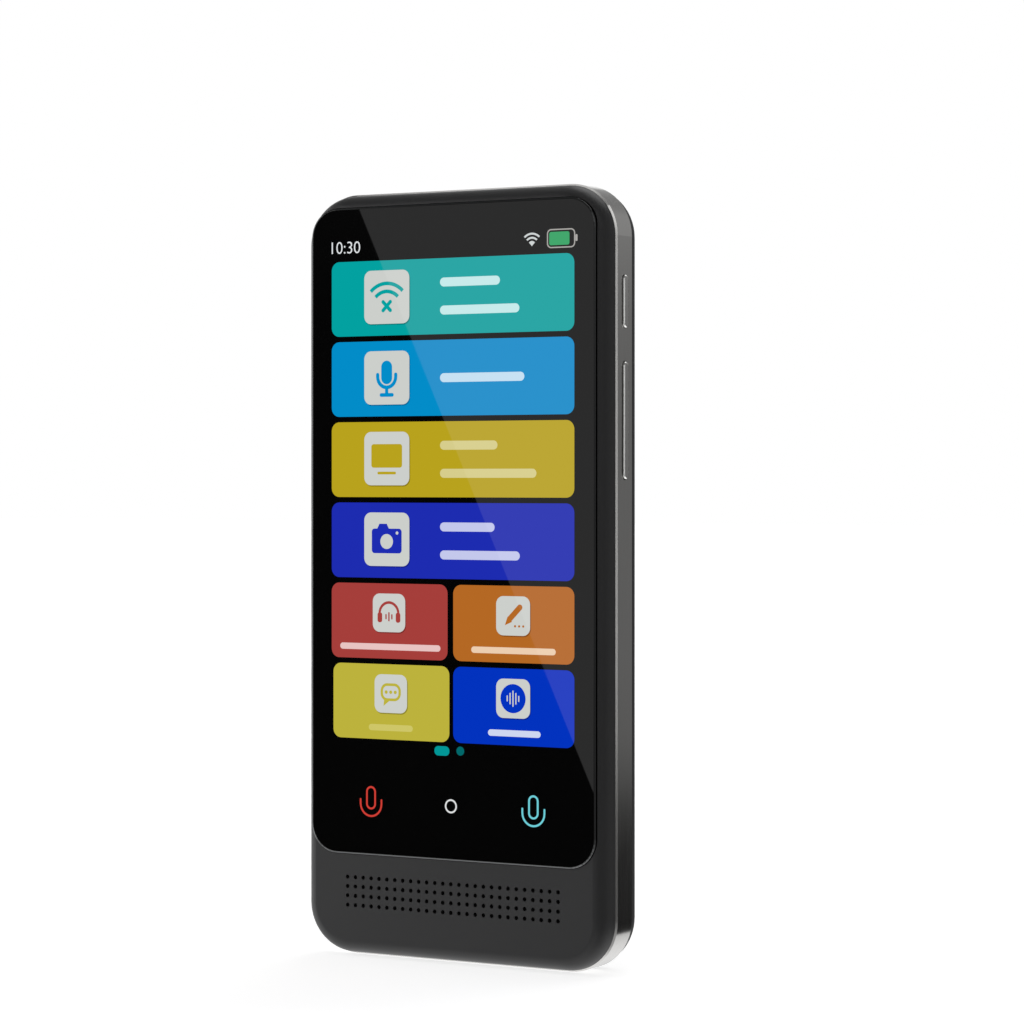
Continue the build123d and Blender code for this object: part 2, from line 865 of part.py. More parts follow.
def make_battery_lead():
    """Flat lead from the cell's top edge to its socket on the main board."""
    half = lead_width / 2
    rear = board_back + connector_height + lead_thick / 2
    points = [(rear, battery_high_z), (rear, connector_row_z + connector_depth / 2)]
    return ribbon(points, lead_thick, battery_connector_x - half, battery_connector_x + half)


# ---------------------------------------------------------------- speaker
def make_speaker_mesh():
    """Fine woven mesh glued over the grille from behind."""
    return slab(speaker_width, speaker_height, mesh_front, gasket_front, speaker_corner_r, 0, grille_z)


def make_speaker_gasket():
    ring = slab(speaker_width, speaker_height, gasket_front, speaker_front, speaker_corner_r, 0, grille_z)
    wall = 2 * gasket_width
    return ring - slab(speaker_width - wall, speaker_height - wall, gasket_front, speaker_front,
                       1.0, 0, grille_z)


def racetrack(margin, y0, y1):
    """A long rounded slab on the speaker's middle, smaller than the cone by margin all round."""
    width = cone_width - 2 * margin
    height = cone_height - 2 * margin
    return slab(width, height, y0, y1, height / 2 - 0.01, 0, grille_z)


def make_speaker_box():
    """Closed sound box with a racetrack opening for the cone."""
    wall = 2 * speaker_wall
    box = slab(speaker_width, speaker_height, speaker_front, speaker_rear, speaker_corner_r, 0, grille_z)
    box -= slab(speaker_width - wall, speaker_height - wall, speaker_front + speaker_wall,
                speaker_rear - speaker_wall, speaker_corner_r - speaker_wall, 0, grille_z)
    return box - racetrack(0, speaker_front, speaker_front + speaker_wall)


def make_speaker_cone():
    """Racetrack cone seated in the box's opening, with a raised roll round its edge."""
    front = speaker_front + cone_sunk
    cone = racetrack(0, front, speaker_front + speaker_wall)
    return cone - racetrack(cone_roll, front, front + cone_sunk)


def make_speaker_magnet():
    """Magnet and coil cup on the floor of the sound box."""
    return slab(magnet_width, magnet_height, speaker_front + speaker_wall, speaker_rear - speaker_wall,
                1.2, 0, grille_z)


def make_speaker_contacts():
    """Two sprung fingers from the sound box to the sub board."""
    half = contact_thick / 2
    points = [
        (speaker_rear + half, grille_z - 2.75),
        (speaker_rear + half, grille_z + 1.75),
        (sub_board_front - half, grille_z - 0.25),
        (sub_board_front - half, grille_z - 3.25),
    ]
    return group([ribbon(points, contact_thick, x, x + contact_width) for x in contact_x])


# ---------------------------------------------------------------- port and microphones
def make_usb_receptacle():
    """Metal shell of the charging port, open at the bottom edge."""
    face = Plane((0, 0, shell_sunk), x_dir=(1, 0, 0), z_dir=(0, 0, 1))
    outer = RectangleRounded(shell_width, shell_height, shell_height / 2 - 0.01)
    wall = 2 * shell_wall
    inner_height = shell_height - wall
    inner = RectangleRounded(shell_width - wall, inner_height, inner_height / 2 - 0.01)
    shell = extrude(face * outer, amount=shell_length)
    mouth = extrude(face * inner, amount=shell_length - shell_floor)
    return shell - mouth


def make_usb_tongue():
    """Contact tongue inside the port."""
    root = shell_sunk + shell_length - shell_floor
    half = tongue_width / 2
    half_y = tongue_thick / 2
    return block(-half, half, -half_y, half_y, shell_sunk + tongue_sunk, root)


def upright(radius, x, start, end):
    """A rod along Z between two heights, in either order."""
    return rod_z(radius, min(start, end), max(start, end), x, 0)


def make_mic(x, z_wall, side):
    """Microphone capsule with its sound hole towards the band."""
    seat = z_wall + side * mic_stand_off
    capsule = upright(mic_r, x, seat, seat + side * mic_thick)
    return capsule - upright(mic_port_r, x, seat, seat + side * mic_port_depth)


def make_mic_boot(x, z_wall, side, y_front, y_back):
    """Rubber boot that seals a microphone against the inside of the band."""
    z_end = z_wall + side * mic_boot_size
    half = mic_r + mic_boot_wall
    seat = z_wall + side * mic_stand_off
    boot = block(x - half, x + half, y_front, y_back, min(z_wall, z_end), max(z_wall, z_end))
    boot -= upright(mic_r, x, seat, seat + side * mic_thick)
    return boot - upright(mic_hole_r, x, z_wall, seat)


# ---------------------------------------------------------------- camera
def make_camera_window():
    front = face_rear - window_sunk - window_thick
    back = face_rear - window_sunk
    return slab(window_width, window_height, front, back, window_corner_r, 0, window_z)


def make_window_adhesive():
    back = window_floor + window_bond
    ring = slab(window_width - 1, window_height - 1, window_floor, back, window_corner_r - 0.5,
                0, window_z)
    return ring - rod_y(lens_opening_r + 0.4, window_floor, back, 0, window_z)


def make_camera_gasket():
    """Foam collar that keeps dust off the lens."""
    collar = slab(camera_size, camera_size, camera_back, pad_inner, 1.0, 0, window_z)
    return collar - rod_y(lens_opening_r, camera_back, pad_inner, 0, window_z)


def make_camera_sensor_board():
    return slab(camera_size, camera_size, board_back, camera_front, 0.3, 0, window_z)


def make_camera_holder():
    """Focus motor housing with the bore that guides the lens barrel."""
    floor = barrel_front - 0.1
    holder = slab(camera_size, camera_size, camera_front, camera_back, 0.6, 0, window_z)
    holder -= rod_y(barrel_r + barrel_gap, floor, camera_back, 0, window_z)
    return holder - slab(sensor_opening, sensor_opening, camera_front, floor, 0, 0, window_z)


def make_camera_lens_barrel():
    """Lens barrel, free to slide by the focus travel towards the window."""
    barrel = rod_y(barrel_r, barrel_front, barrel_back, 0, window_z)
    barrel -= rod_y(barrel_bore_r, barrel_front, barrel_back, 0, window_z)
    return barrel - rod_y(lens_r, barrel_back - lens_sunk - lens_thick, barrel_back, 0, window_z)


def make_camera_lens():
    """Front lens with a domed outer face."""
    back = barrel_back - lens_sunk
    disc = rod_y(lens_r, back - lens_thick, back, 0, window_z)
    return disc & Pos(0, back - lens_dome_r, window_z) * Sphere(lens_dome_r)


def make_camera_flex():
    """Short cable from the camera's board to its socket."""
    edge = camera_size / 2
    rear = board_back + connector_height + flex_thick / 2
    line = Polyline(
        (edge, board_back + 0.2),
        (edge + 0.9, board_back + 0.2),
        (camera_connector_x - 1.9, rear),
        (camera_connector_x + 1.7, rear),
    )
    floor = Plane((0, 0, window_z - 2), x_dir=(1, 0, 0), z_dir=(0, 0, 1))
    return extrude(floor * trace(line, line_width=flex_thick), amount=4.0)


# ---------------------------------------------------------------- side keys
def key_cap(z, length, x_inner):
    """A long rounded cap from inside the band to its proud outer face."""
    face = Plane((x_inner, 0, z), x_dir=(0, 1, 0), z_dir=(1, 0, 0))
    outline = RectangleRounded(key_width, length, key_width / 2 - 0.01)
    cap = extrude(face * outline, amount=half_width + key_proud - x_inner)
    return fillet(cap.edges().group_by(Axis.X)[-1], key_edge_r)


def make_power_button():
    """Power key: cap, inner collar that keeps it in the band, and the nub on its switch."""
    cap = key_cap(power_z, power_length, key_inner_x - power_flange_thick)
    half = power_length / 2 + power_flange_extra
    half_y = key_width / 2 + power_flange_side
    cap += block(key_inner_x - power_flange_thick, key_inner_x, -half_y, half_y,
                 power_z - half, power_z + half)
    return cap + rod_x(nub_r, nub_tip_x, key_inner_x - power_flange_thick, 0, power_z)


def make_volume_rocker():
    """Volume key: one bar on a pivot, with a nub over each of its two switches."""
    bar = key_cap(volume_z, volume_length, volume_inner_x)
    half = key_width / 2
    hub_half = hub_length / 2
    bar += block(pivot_x, volume_inner_x + 0.2, -half, half, volume_z - hub_half, volume_z + hub_half)
    bar += rod_y(hub_r, -half, half, pivot_x, volume_z)
    for side in (-1, 1):
        z = volume_z + side * rocker_arm
        bar += rod_x(nub_r, nub_tip_x, volume_inner_x + 0.1, 0, z)
    return bar - rod_y(pin_r + pin_gap, -half, half, pivot_x, volume_z)


def make_rocker_pin():
    return rod_y(pin_r, -bracket_front, bracket_rear, pivot_x, volume_z)


def make_key_bracket():
    """Steel bracket inside the band that carries the key switches and the rocker's pin."""
    bracket = block(bracket_inner_x, bracket_outer_x, -bracket_front, bracket_rear,
                    bracket_low_z, bracket_high_z)
    for z0, z1 in ((bracket_low_z - bracket_tab, bracket_low_z + 0.6),
                   (bracket_high_z - 0.6, bracket_high_z + bracket_tab)):
        bracket += block(bracket_inner_x - 0.2, bracket_outer_x + 1.2, flange_back,
                         flange_back + bracket_thick, z0, z1)
    for y0, y1 in ((-bracket_front, -bracket_front + bracket_ear_thick),
                   (bracket_rear - bracket_ear_thick, bracket_rear)):
        bracket += block(bracket_outer_x - 0.1, pivot_x, y0, y1, volume_z - hub_r, volume_z + hub_r)
        bracket += rod_y(hub_r, y0, y1, pivot_x, volume_z)
    bracket -= rod_y(pin_r, -bracket_front, bracket_rear, pivot_x, volume_z)
    for x, z in bracket_screw_points():
        bracket -= rod_y(screw_r + 0.1, flange_back, flange_back + bracket_thick, x, z)
    return bracket


def make_side_key_flex():
    """Cable under the key switches, with its tail to the main board."""
    half = flex_thick / 2
    x = bracket_outer_x + half
    back = bracket_outer_x + flex_thick
    outer = key_flex_width / 2
    inner = key_flex_neck / 2
    strip = block(bracket_outer_x, back, -outer, outer,
                  bracket_low_z + key_flex_end_gap, bracket_high_z - key_flex_end_gap)
    hub_half = hub_length / 2
    for y0, y1 in ((-outer, -inner), (inner, outer)):
        strip -= block(bracket_outer_x, back, y0, y1, volume_z - hub_half, volume_z + hub_half)
    rear = board_back + connector_height + half
    line = Polyline(
        (x, -1.0),
        (x, bracket_rear + 0.3),
        (main_board_right - 0.9, bracket_rear + 0.3),
        (main_board_right - 2.5, rear),
        (main_board_right - 6.5, rear),
    )
    floor = Plane((0, 0, key_tail_z - key_tail_width / 2), x_dir=(1, 0, 0), z_dir=(0, 0, 1))
    return strip + extrude(floor * trace(line, line_width=flex_thick), amount=key_tail_width)


def make_switch(z):
    """A side key switch with the bore that its plunger slides in."""
    half_z = switch_long / 2
    half_y = switch_wide / 2
    body = block(switch_back_x, switch_front_x, -half_y, half_y, z - half_z, z + half_z)
    depth = plunger_length + power_travel + 0.05 - (plunger_tip_x - switch_front_x)
    return body - rod_x(plunger_r + plunger_gap, switch_front_x - depth, switch_front_x, 0, z)


def make_plunger(z):
    return rod_x(plunger_r, plunger_tip_x - plunger_length, plunger_tip_x, 0, z)


# ---------------------------------------------------------------- screws
def screw(x, z, seat, length):
    """A small pan screw from behind, its head on the depth seat, with a cross recess."""
    shank = rod_y(screw_r, seat - length, seat, x, z)
    head = rod_y(screw_head_r, seat, seat + screw_head_thick, x, z)
    half = screw_slot / 2
    reach = screw_slot_half
    top = seat + screw_head_thick
    floor = top - screw_slot_depth
    cross = block(x - reach, x + reach, floor, top, z - half, z + half)
    cross += block(x - half, x + half, floor, top, z - reach, z + reach)
    return shank + head - cross


def make_housing_screws():
    length = flange_thick + screw_bite
    return group([screw(x, z, flange_back, length) for x, z in housing_screw_points()])


def make_bracket_screws():
    seat = flange_back + bracket_thick
    length = bracket_thick + flange_thick - 0.1
    return group([screw(x, z, seat, length) for x, z in bracket_screw_points()])


def make_board_screws():
    main_length = board_thick + standoff_height - screw_tip_gap
    sub_length = board_thick + screw_bite - screw_tip_gap
    parts = [screw(x, z, board_back, main_length) for x, z in standoff_points]
    parts += [screw(side * sub_boss_x, sub_boss_z, sub_board_back, sub_length) for side in (-1, 1)]
    return group(parts)


# ---------------------------------------------------------------- all nodes
def main():
    os.makedirs("parts", exist_ok=True)
    wall_low = band_wall
    wall_high = body_height - band_wall
    save("front_housing", make_front_housing())
    save("mid_frame", make_mid_frame())
    save("rear_cover", make_rear_cover())
    save("display_glass", make_display_glass())
    save("bezel_adhesive", make_bezel_adhesive())
    save("optical_adhesive", make_optical_adhesive())
    save("lcd_panel", make_lcd_panel())
    save("backlight_tray", make_backlight_tray())
    save("display_cushion", make_display_cushion())
    save("display_flex", make_display_flex())
    save("mid_plate", make_mid_plate())
    save("board_standoffs", make_board_standoffs())
    save("main_board", make_main_board())
    save("processor_chip", chip(processor_width, processor_height, processor_thick,
                                processor_x, chip_row_z))
    save("memory_chip", chip(memory_width, memory_height, memory_thick, memory_x, chip_row_z))
    save("processor_shield", shield_can(processor_shield_width, processor_shield_height,
                                        processor_shield_x, chip_row_z))
    save("radio_shield", shield_can(radio_shield_width, radio_shield_height,
                                    main_board_left + radio_shield_side,
                                    main_board_high_z - radio_shield_drop))
    save("board_connectors", make_board_connectors())
    save("thermal_pad", make_thermal_pad())
    save("antenna_carrier", make_antenna_carrier())
    save("wifi_antenna", make_wifi_antenna())
    save("battery_cell", make_battery_cell())
    save("battery_tape", make_battery_tape())
    save("battery_foam", make_battery_foam())
    save("battery_lead", make_battery_lead())
    save("sub_board", make_sub_board())
    save("link_flex", make_link_flex())
    save("usb_receptacle", make_usb_receptacle())
    save("usb_tongue", make_usb_tongue())
    save("mic_bottom", make_mic(mic_x, wall_low, 1))
    save("mic_bottom_boot", make_mic_boot(mic_x, wall_low, 1, flange_back, sub_board_front))
    save("mic_top", make_mic(mic_top_x, wall_high, -1))
    save("mic_top_boot", make_mic_boot(mic_top_x, wall_high, -1, flange_back, -flange_back))
    save("speaker_mesh", make_speaker_mesh())
    save("speaker_gasket", make_speaker_gasket())
    save("speaker_box", make_speaker_box())
    save("speaker_cone", make_speaker_cone())
    save("speaker_magnet", make_speaker_magnet())
    save("speaker_contacts", make_speaker_contacts())
    save("camera_window", make_camera_window())
    save("window_adhesive", make_window_adhesive())
    save("camera_gasket", make_camera_gasket())
    save("camera_sensor_board", make_camera_sensor_board())
    save("camera_holder", make_camera_holder())
    save("camera_lens_barrel", make_camera_lens_barrel())
    save("camera_lens", make_camera_lens())
    save("camera_flex", make_camera_flex())
    save("power_button", make_power_button())
    save("volume_rocker", make_volume_rocker())
    save("rocker_pin", make_rocker_pin())
    save("key_bracket", make_key_bracket())
    save("side_key_flex", make_side_key_flex())
    save("power_switch", make_switch(power_z))
    save("power_switch_plunger", make_plunger(power_z))
    save("volume_switches", group([make_switch(volume_z + s * rocker_arm) for s in (-1, 1)]))
    save("volume_up_plunger", make_plunger(volume_z + rocker_arm))
    save("volume_down_plunger", make_plunger(volume_z - rocker_arm))
    save("housing_screws", make_housing_screws())
    save("bracket_screws", make_bracket_screws())
    save("board_screws", make_board_screws())


main()
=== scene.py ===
import json
import math

import bmesh
import bpy
from mathutils import Matrix, Vector


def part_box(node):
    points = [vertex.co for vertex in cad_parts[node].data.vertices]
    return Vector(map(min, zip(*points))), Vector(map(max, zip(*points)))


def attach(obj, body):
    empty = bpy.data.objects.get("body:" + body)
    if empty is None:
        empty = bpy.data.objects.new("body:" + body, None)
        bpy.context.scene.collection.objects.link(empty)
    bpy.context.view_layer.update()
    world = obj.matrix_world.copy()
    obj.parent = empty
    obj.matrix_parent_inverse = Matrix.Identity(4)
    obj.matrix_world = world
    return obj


MM = 0.001
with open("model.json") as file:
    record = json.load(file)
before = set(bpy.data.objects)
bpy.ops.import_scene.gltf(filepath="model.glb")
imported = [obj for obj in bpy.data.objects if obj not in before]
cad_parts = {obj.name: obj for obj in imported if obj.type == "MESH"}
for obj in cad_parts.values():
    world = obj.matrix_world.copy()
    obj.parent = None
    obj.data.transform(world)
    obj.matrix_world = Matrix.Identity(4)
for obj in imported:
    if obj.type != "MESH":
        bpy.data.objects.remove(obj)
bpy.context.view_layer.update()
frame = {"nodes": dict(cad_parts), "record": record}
nodes = frame["nodes"]


# ---------------------------------------------------------------- camera
# place in metres, turn in degrees to the right of the front, lens and sensor in millimetres
CAMERA_PLACE = (0.3604, -0.5904, 0.1021)
CAMERA_TURN = 30.66
CAMERA_LENS = 114.5
CAMERA_SENSOR = 36.0
CAMERA_SHIFT = -0.0318
CAMERA_NEAR = 0.01


def place_camera():
    """Level camera with a long lens, about 0.7 m away at the front right."""
    data = bpy.data.cameras.new("camera")
    camera = bpy.data.objects.new("camera", data)
    bpy.context.scene.collection.objects.link(camera)
    camera.location = CAMERA_PLACE
    camera.rotation_euler = (math.radians(90), 0, math.radians(CAMERA_TURN))
    data.lens = CAMERA_LENS
    data.sensor_width = CAMERA_SENSOR
    data.shift_y = CAMERA_SHIFT
    data.clip_start = CAMERA_NEAR
    bpy.context.scene.camera = camera


place_camera()


# ---------------------------------------------------------------- colours
def shade(red, green, blue):
    """A linear colour from the 0 to 255 values that a picker shows."""
    def linear(value):
        value = value / 255
        return value / 12.92 if value < 0.04045 else ((value + 0.055) / 1.055) ** 2.4
    return (linear(red), linear(green), linear(blue), 1.0)


def darker(colour, share=0.55):
    """The same hue with less light."""
    return (colour[0] * share, colour[1] * share, colour[2] * share, 1.0)


BLACK = (0.0, 0.0, 0.0, 1.0)
WHITE = (1.0, 1.0, 1.0, 1.0)
MID_GREY = (0.5, 0.5, 0.5, 1.0)
PAPER = (0.8, 0.8, 0.8, 1.0)
SHELL_GREY = shade(46, 46, 47)
COVER_GREY = shade(36, 36, 37)
BAND_GREY = shade(200, 199, 197)
KEY_SILVER = shade(214, 213, 211)
BRIGHT_SILVER = shade(242, 242, 240)
RIM_GREY = shade(104, 105, 106)
GLASS_BLACK = shade(6, 6, 6)
TEAL = shade(0, 161, 160)
SKY = shade(0, 140, 200)
MUSTARD = shade(184, 162, 28)
ROYAL = shade(28, 43, 176)
BRICK = shade(165, 62, 58)
ORANGE = shade(180, 104, 35)
OLIVE = shade(188, 178, 60)
COBALT = shade(0, 50, 190)
SQUARE_WHITE = shade(204, 207, 203)
NUMERAL_WHITE = shade(226, 230, 232)
SIGNAL_WHITE = shade(205, 210, 210)
HOME_WHITE = shade(220, 222, 222)
BATTERY_GREY = shade(168, 166, 162)
BATTERY_GREEN = shade(50, 162, 100)
PAGE_TEAL = shade(0, 150, 150)
OTHER_PAGE_TEAL = shade(0, 104, 106)
TALK_RED = shade(206, 62, 52)
TALK_BLUE = shade(110, 205, 215)


# ---------------------------------------------------------------- shader groups
GRAIN_HEIGHT = 0.04 * MM
LINE_HEIGHT = 0.02 * MM
WIRE_HEIGHT = 0.03 * MM


def new_group(name, inputs, outputs):
    """An empty shader group with named sockets: (name, socket type, default)."""
    group = bpy.data.node_groups.new(name, "ShaderNodeTree")
    for label, kind, default in inputs:
        socket = group.interface.new_socket(name=label, in_out="INPUT", socket_type=kind)
        socket.default_value = default
    for label, kind in outputs:
        group.interface.new_socket(name=label, in_out="OUTPUT", socket_type=kind)
    entry = group.nodes.new("NodeGroupInput")
    end = group.nodes.new("NodeGroupOutput")
    return group, entry.outputs, end.inputs


def add(tree, kind, links=(), **settings):
    """A node with its settings, and its inputs linked or set."""
    node = tree.nodes.new(kind)
    for key, value in settings.items():
        setattr(node, key, value)
    for socket, source in dict(links).items():
        if isinstance(source, bpy.types.NodeSocket):
            tree.links.new(source, node.inputs[socket])
        else:
            node.inputs[socket].default_value = source
    return node


def calculate(tree, operation, first, second=None):
    """One step of arithmetic on one or two values."""
    links = {0: first} if second is None else {0: first, 1: second}
    return add(tree, "ShaderNodeMath", links, operation=operation).outputs[0]


def noise(tree, vector, scale, detail, roughness=0.5):
    """Cloudy noise from 0 to 1."""
    return add(tree, "ShaderNodeTexNoise", {
        "Vector": vector, "Scale": scale, "Detail": detail, "Roughness": roughness}).outputs["Fac"]


def between(tree, value, low, high):
    """Maps 0 to 1 onto low to high."""
    node = add(tree, "ShaderNodeMapRange", {"Value": value, "To Min": low, "To Max": high})
    return node.outputs["Result"]


def scaled(tree, values, factor):
    """A colour or a place, times a factor."""
    node = add(tree, "ShaderNodeVectorMath", {0: values, "Scale": factor}, operation="SCALE")
    return node.outputs["Vector"]


def make_moulded_group():
    """Spark-eroded mould grain with slow changes of tone, for plastics and rubber."""
    group, given, result = new_group(
        "moulded_grain",
        [("Colour", "NodeSocketColor", MID_GREY), ("Roughness", "NodeSocketFloat", 0.5),
         ("Grain", "NodeSocketFloat", 4000.0), ("Depth", "NodeSocketFloat", 0.1)],
        [("Colour", "NodeSocketColor"), ("Roughness", "NodeSocketFloat"),
         ("Normal", "NodeSocketVector")])
    place = add(group, "ShaderNodeTexCoord").outputs["Object"]
    fine = noise(group, place, given["Grain"], detail=2.0)
    slow = noise(group, place, scale=60.0, detail=3.0)
    tone = calculate(group, "ADD", between(group, fine, -0.10, 0.10), between(group, slow, 0.93, 1.07))
    group.links.new(scaled(group, given["Colour"], tone), result["Colour"])
    drift = calculate(group, "ADD", given["Roughness"], between(group, slow, -0.05, 0.05))
    group.links.new(drift, result["Roughness"])
    bump = add(group, "ShaderNodeBump", {
        "Strength": given["Depth"], "Distance": GRAIN_HEIGHT, "Height": fine})
    group.links.new(bump.outputs["Normal"], result["Normal"])
    return group


def make_brushed_group():
    """Fine lines along a run of metal, from noise drawn out along two axes."""
    group, given, result = new_group(
        "brushed_grain",
        [("Colour", "NodeSocketColor", MID_GREY), ("Roughness", "NodeSocketFloat", 0.3),
         ("Lines", "NodeSocketVector", (60.0, 5000.0, 60.0)), ("Depth", "NodeSocketFloat", 0.05)],
        [("Colour", "NodeSocketColor"), ("Roughness", "NodeSocketFloat"),
         ("Normal", "NodeSocketVector")])
    place = add(group, "ShaderNodeTexCoord").outputs["Object"]
    drawn = add(group, "ShaderNodeVectorMath", {0: place, 1: given["Lines"]}, operation="MULTIPLY")
    lines = noise(group, drawn.outputs["Vector"], scale=1.0, detail=3.0, roughness=0.6)
    slow = noise(group, place, scale=45.0, detail=2.0)
    group.links.new(scaled(group, given["Colour"], between(group, lines, 0.94, 1.06)), result["Colour"])
    drift = calculate(group, "ADD", given["Roughness"], between(group, lines, -0.04, 0.04))
    worn = calculate(group, "ADD", drift, between(group, slow, -0.03, 0.03))
    group.links.new(worn, result["Roughness"])
    bump = add(group, "ShaderNodeBump", {
        "Strength": given["Depth"], "Distance": LINE_HEIGHT, "Height": lines})
    group.links.new(bump.outputs["Normal"], result["Normal"])
    return group


def make_weave_group():
    """Plain weave of thin wire or thread, as height, and as tone that is darker where it lies low: painted
    shade.
    """
    group, given, result = new_group(
        "weave",
        [("Colour", "NodeSocketColor", MID_GREY), ("Pitch", "NodeSocketFloat", 15000.0)],
        [("Colour", "NodeSocketColor"), ("Normal", "NodeSocketVector")])
    place = add(group, "ShaderNodeTexCoord").outputs["Object"]
    axes = add(group, "ShaderNodeSeparateXYZ", {"Vector": place})
    waves = []
    for axis in ("X", "Z"):
        turns = calculate(group, "MULTIPLY", axes.outputs[axis], given["Pitch"])
        waves.append(calculate(group, "SINE", turns))
    height = calculate(group, "MULTIPLY", waves[0], waves[1])
    # painted shade: darker where the weave lies low, lighter on its raised threads
    tone = add(group, "ShaderNodeMapRange", {
        "Value": height, "From Min": -1.0, "To Min": 0.6, "To Max": 1.2})
    group.links.new(scaled(group, given["Colour"], tone.outputs["Result"]), result["Colour"])
    bump = add(group, "ShaderNodeBump", {
        "Strength": 0.4, "Distance": WIRE_HEIGHT, "Height": height})
    group.links.new(bump.outputs["Normal"], result["Normal"])
    return group


def make_smudge_group():
    """Faint wiping marks on polished glass, as roughness only."""
    group, given, result = new_group(
        "smudge",
        [("Roughness", "NodeSocketFloat", 0.04), ("Haze", "NodeSocketFloat", 0.03)],
        [("Roughness", "NodeSocketFloat")])
    place = add(group, "ShaderNodeTexCoord").outputs["Object"]
    drawn = add(group, "ShaderNodeMapping", {
        "Vector": place, "Rotation": (0.0, 0.6, 0.0), "Scale": (1.0, 1.0, 0.35)})
    marks = noise(group, drawn.outputs["Vector"], scale=55.0, detail=4.0, roughness=0.55)
    haze = add(group, "ShaderNodeMapRange", {
        "Value": marks, "From Min": 0.5, "From Max": 0.8, "To Max": given["Haze"]})
    total = calculate(group, "ADD", given["Roughness"], haze.outputs["Result"])
    group.links.new(total, result["Roughness"])
    return group


MOULDED = make_moulded_group()
BRUSHED = make_brushed_group()
WEAVE = make_weave_group()
SMUDGE = make_smudge_group()


# ---------------------------------------------------------------- finishes
GLASS_IOR = 1.5
GLASS_ROUGHNESS = 0.008
GLASS_HAZE = 0.012


def new_finish(name):
    """A material with a plain Principled shader, as (material, tree, shader)."""
    material = bpy.data.materials.new(name)
    material.use_nodes = True
    return material, material.node_tree, material.node_tree.nodes["Principled BSDF"]


def from_group(tree, shader, group, values):
    """Places a group with its own values and feeds the shader's sockets of the same names."""
    node = tree.nodes.new("ShaderNodeGroup")
    node.node_tree = group
    for label, value in values.items():
        node.inputs[label].default_value = value
    for output in node.outputs:
        target = "Base Color" if output.name == "Colour" else output.name
        tree.links.new(output, shader.inputs[target])


def moulded(name, colour, roughness, grain=4000.0, depth=0.12, sheen=0.0):
    """Moulded plastic, rubber or coated film."""
    material, tree, shader = new_finish(name)
    from_group(tree, shader, MOULDED, {"Colour": colour, "Roughness": roughness, "Grain": grain,
                                       "Depth": depth})
    shader.inputs["Sheen Weight"].default_value = sheen
    return material


def metal(name, colour, roughness, lines=(60.0, 5000.0, 60.0), depth=0.05):
    """Brushed, rolled or turned metal."""
    material, tree, shader = new_finish(name)
    from_group(tree, shader, BRUSHED, {"Colour": colour, "Roughness": roughness, "Lines": lines,
                                       "Depth": depth})
    shader.inputs["Metallic"].default_value = 1.0
    return material


def woven(name, colour, pitch, metallic=0.0):
    """Mesh or woven tape."""
    material, tree, shader = new_finish(name)
    from_group(tree, shader, WEAVE, {"Colour": colour, "Pitch": pitch})
    shader.inputs["Metallic"].default_value = metallic
    shader.inputs["Roughness"].default_value = 0.45
    return material


def polished(name, colour, roughness=GLASS_ROUGHNESS, haze=GLASS_HAZE, gloss=0.5):
    """Black-backed polished glass; a coated one has less gloss."""
    material, tree, shader = new_finish(name)
    from_group(tree, shader, SMUDGE, {"Roughness": roughness, "Haze": haze})
    shader.inputs["Base Color"].default_value = colour
    shader.inputs["IOR"].default_value = GLASS_IOR
    shader.inputs["Specular IOR Level"].default_value = gloss
    return material


def lit(name, colour):
    """A part of the lit screen: it gives its own light and keeps the gloss of the glass."""
    material = polished(name, BLACK)
    shader = material.node_tree.nodes["Principled BSDF"]
    shader.inputs["Emission Color"].default_value = colour
    shader.inputs["Emission Strength"].default_value = 1.0
    return material


MOULDED_FINISHES = {
    # colour, roughness, grain scale, grain depth, sheen
    "housing_plastic": (SHELL_GREY, 0.46, 5200.0, 0.16),
    "cover_plastic": (COVER_GREY, 0.48, 5200.0, 0.16),
    "clear_adhesive": (shade(225, 225, 220), 0.2, 900.0, 0.02),
    "tray_plastic": (shade(222, 222, 218), 0.4),
    "foam": (shade(34, 34, 35), 0.9, 2400.0, 0.7, 0.2),
    "silicone": (shade(58, 58, 60), 0.6, 3000.0, 0.06, 0.1),
    "board": (shade(18, 62, 40), 0.35, 2500.0, 0.1),
    "flex": (shade(150, 92, 34), 0.3, 1500.0, 0.05),
    "chip_plastic": (shade(30, 30, 31), 0.5, 6000.0, 0.1),
    "battery_wrap": (shade(150, 150, 153), 0.35, 700.0, 0.2),
    "cone_film": (shade(32, 32, 33), 0.5, 1800.0, 0.1),
    "switch_plastic": (shade(38, 38, 40), 0.45),
    "carrier_plastic": (shade(46, 46, 48), 0.5),
}
METAL_FINISHES = {
    # colour, roughness, scale of the lines along X, Y and Z
    "band_metal": (BAND_GREY, 0.14),
    "key_metal": (KEY_SILVER, 0.14),
    "key_rim": (BRIGHT_SILVER, 0.1),
    "glass_rim": (RIM_GREY, 0.16),
    "plate_metal": (shade(172, 172, 170), 0.38, (900.0, 900.0, 40.0)),
    "steel_sheet": (shade(176, 176, 173), 0.32, (70.0, 4000.0, 70.0)),
    "shield_steel": (shade(196, 196, 192), 0.3, (60.0, 60.0, 2500.0)),
    "brass": (shade(200, 172, 110), 0.28, (3000.0, 200.0, 3000.0)),
    "screw_steel": (shade(120, 120, 122), 0.3, (2500.0, 300.0, 2500.0)),
    "magnet": (shade(188, 188, 190), 0.25, (1200.0, 300.0, 1200.0)),
    "copper_film": (shade(205, 150, 115), 0.3, (2000.0, 60.0, 60.0)),
}
POLISHED_FINISHES = {
    # colour, roughness, haze of the wiping marks, gloss
    "cover_glass": (GLASS_BLACK,),
    "coated_window": (shade(3, 3, 4), 0.01, GLASS_HAZE, 0.22),
    "lens_glass": (shade(20, 30, 70), 0.02, 0.01),
    "panel": (shade(16, 16, 19), 0.08, 0.02),
}
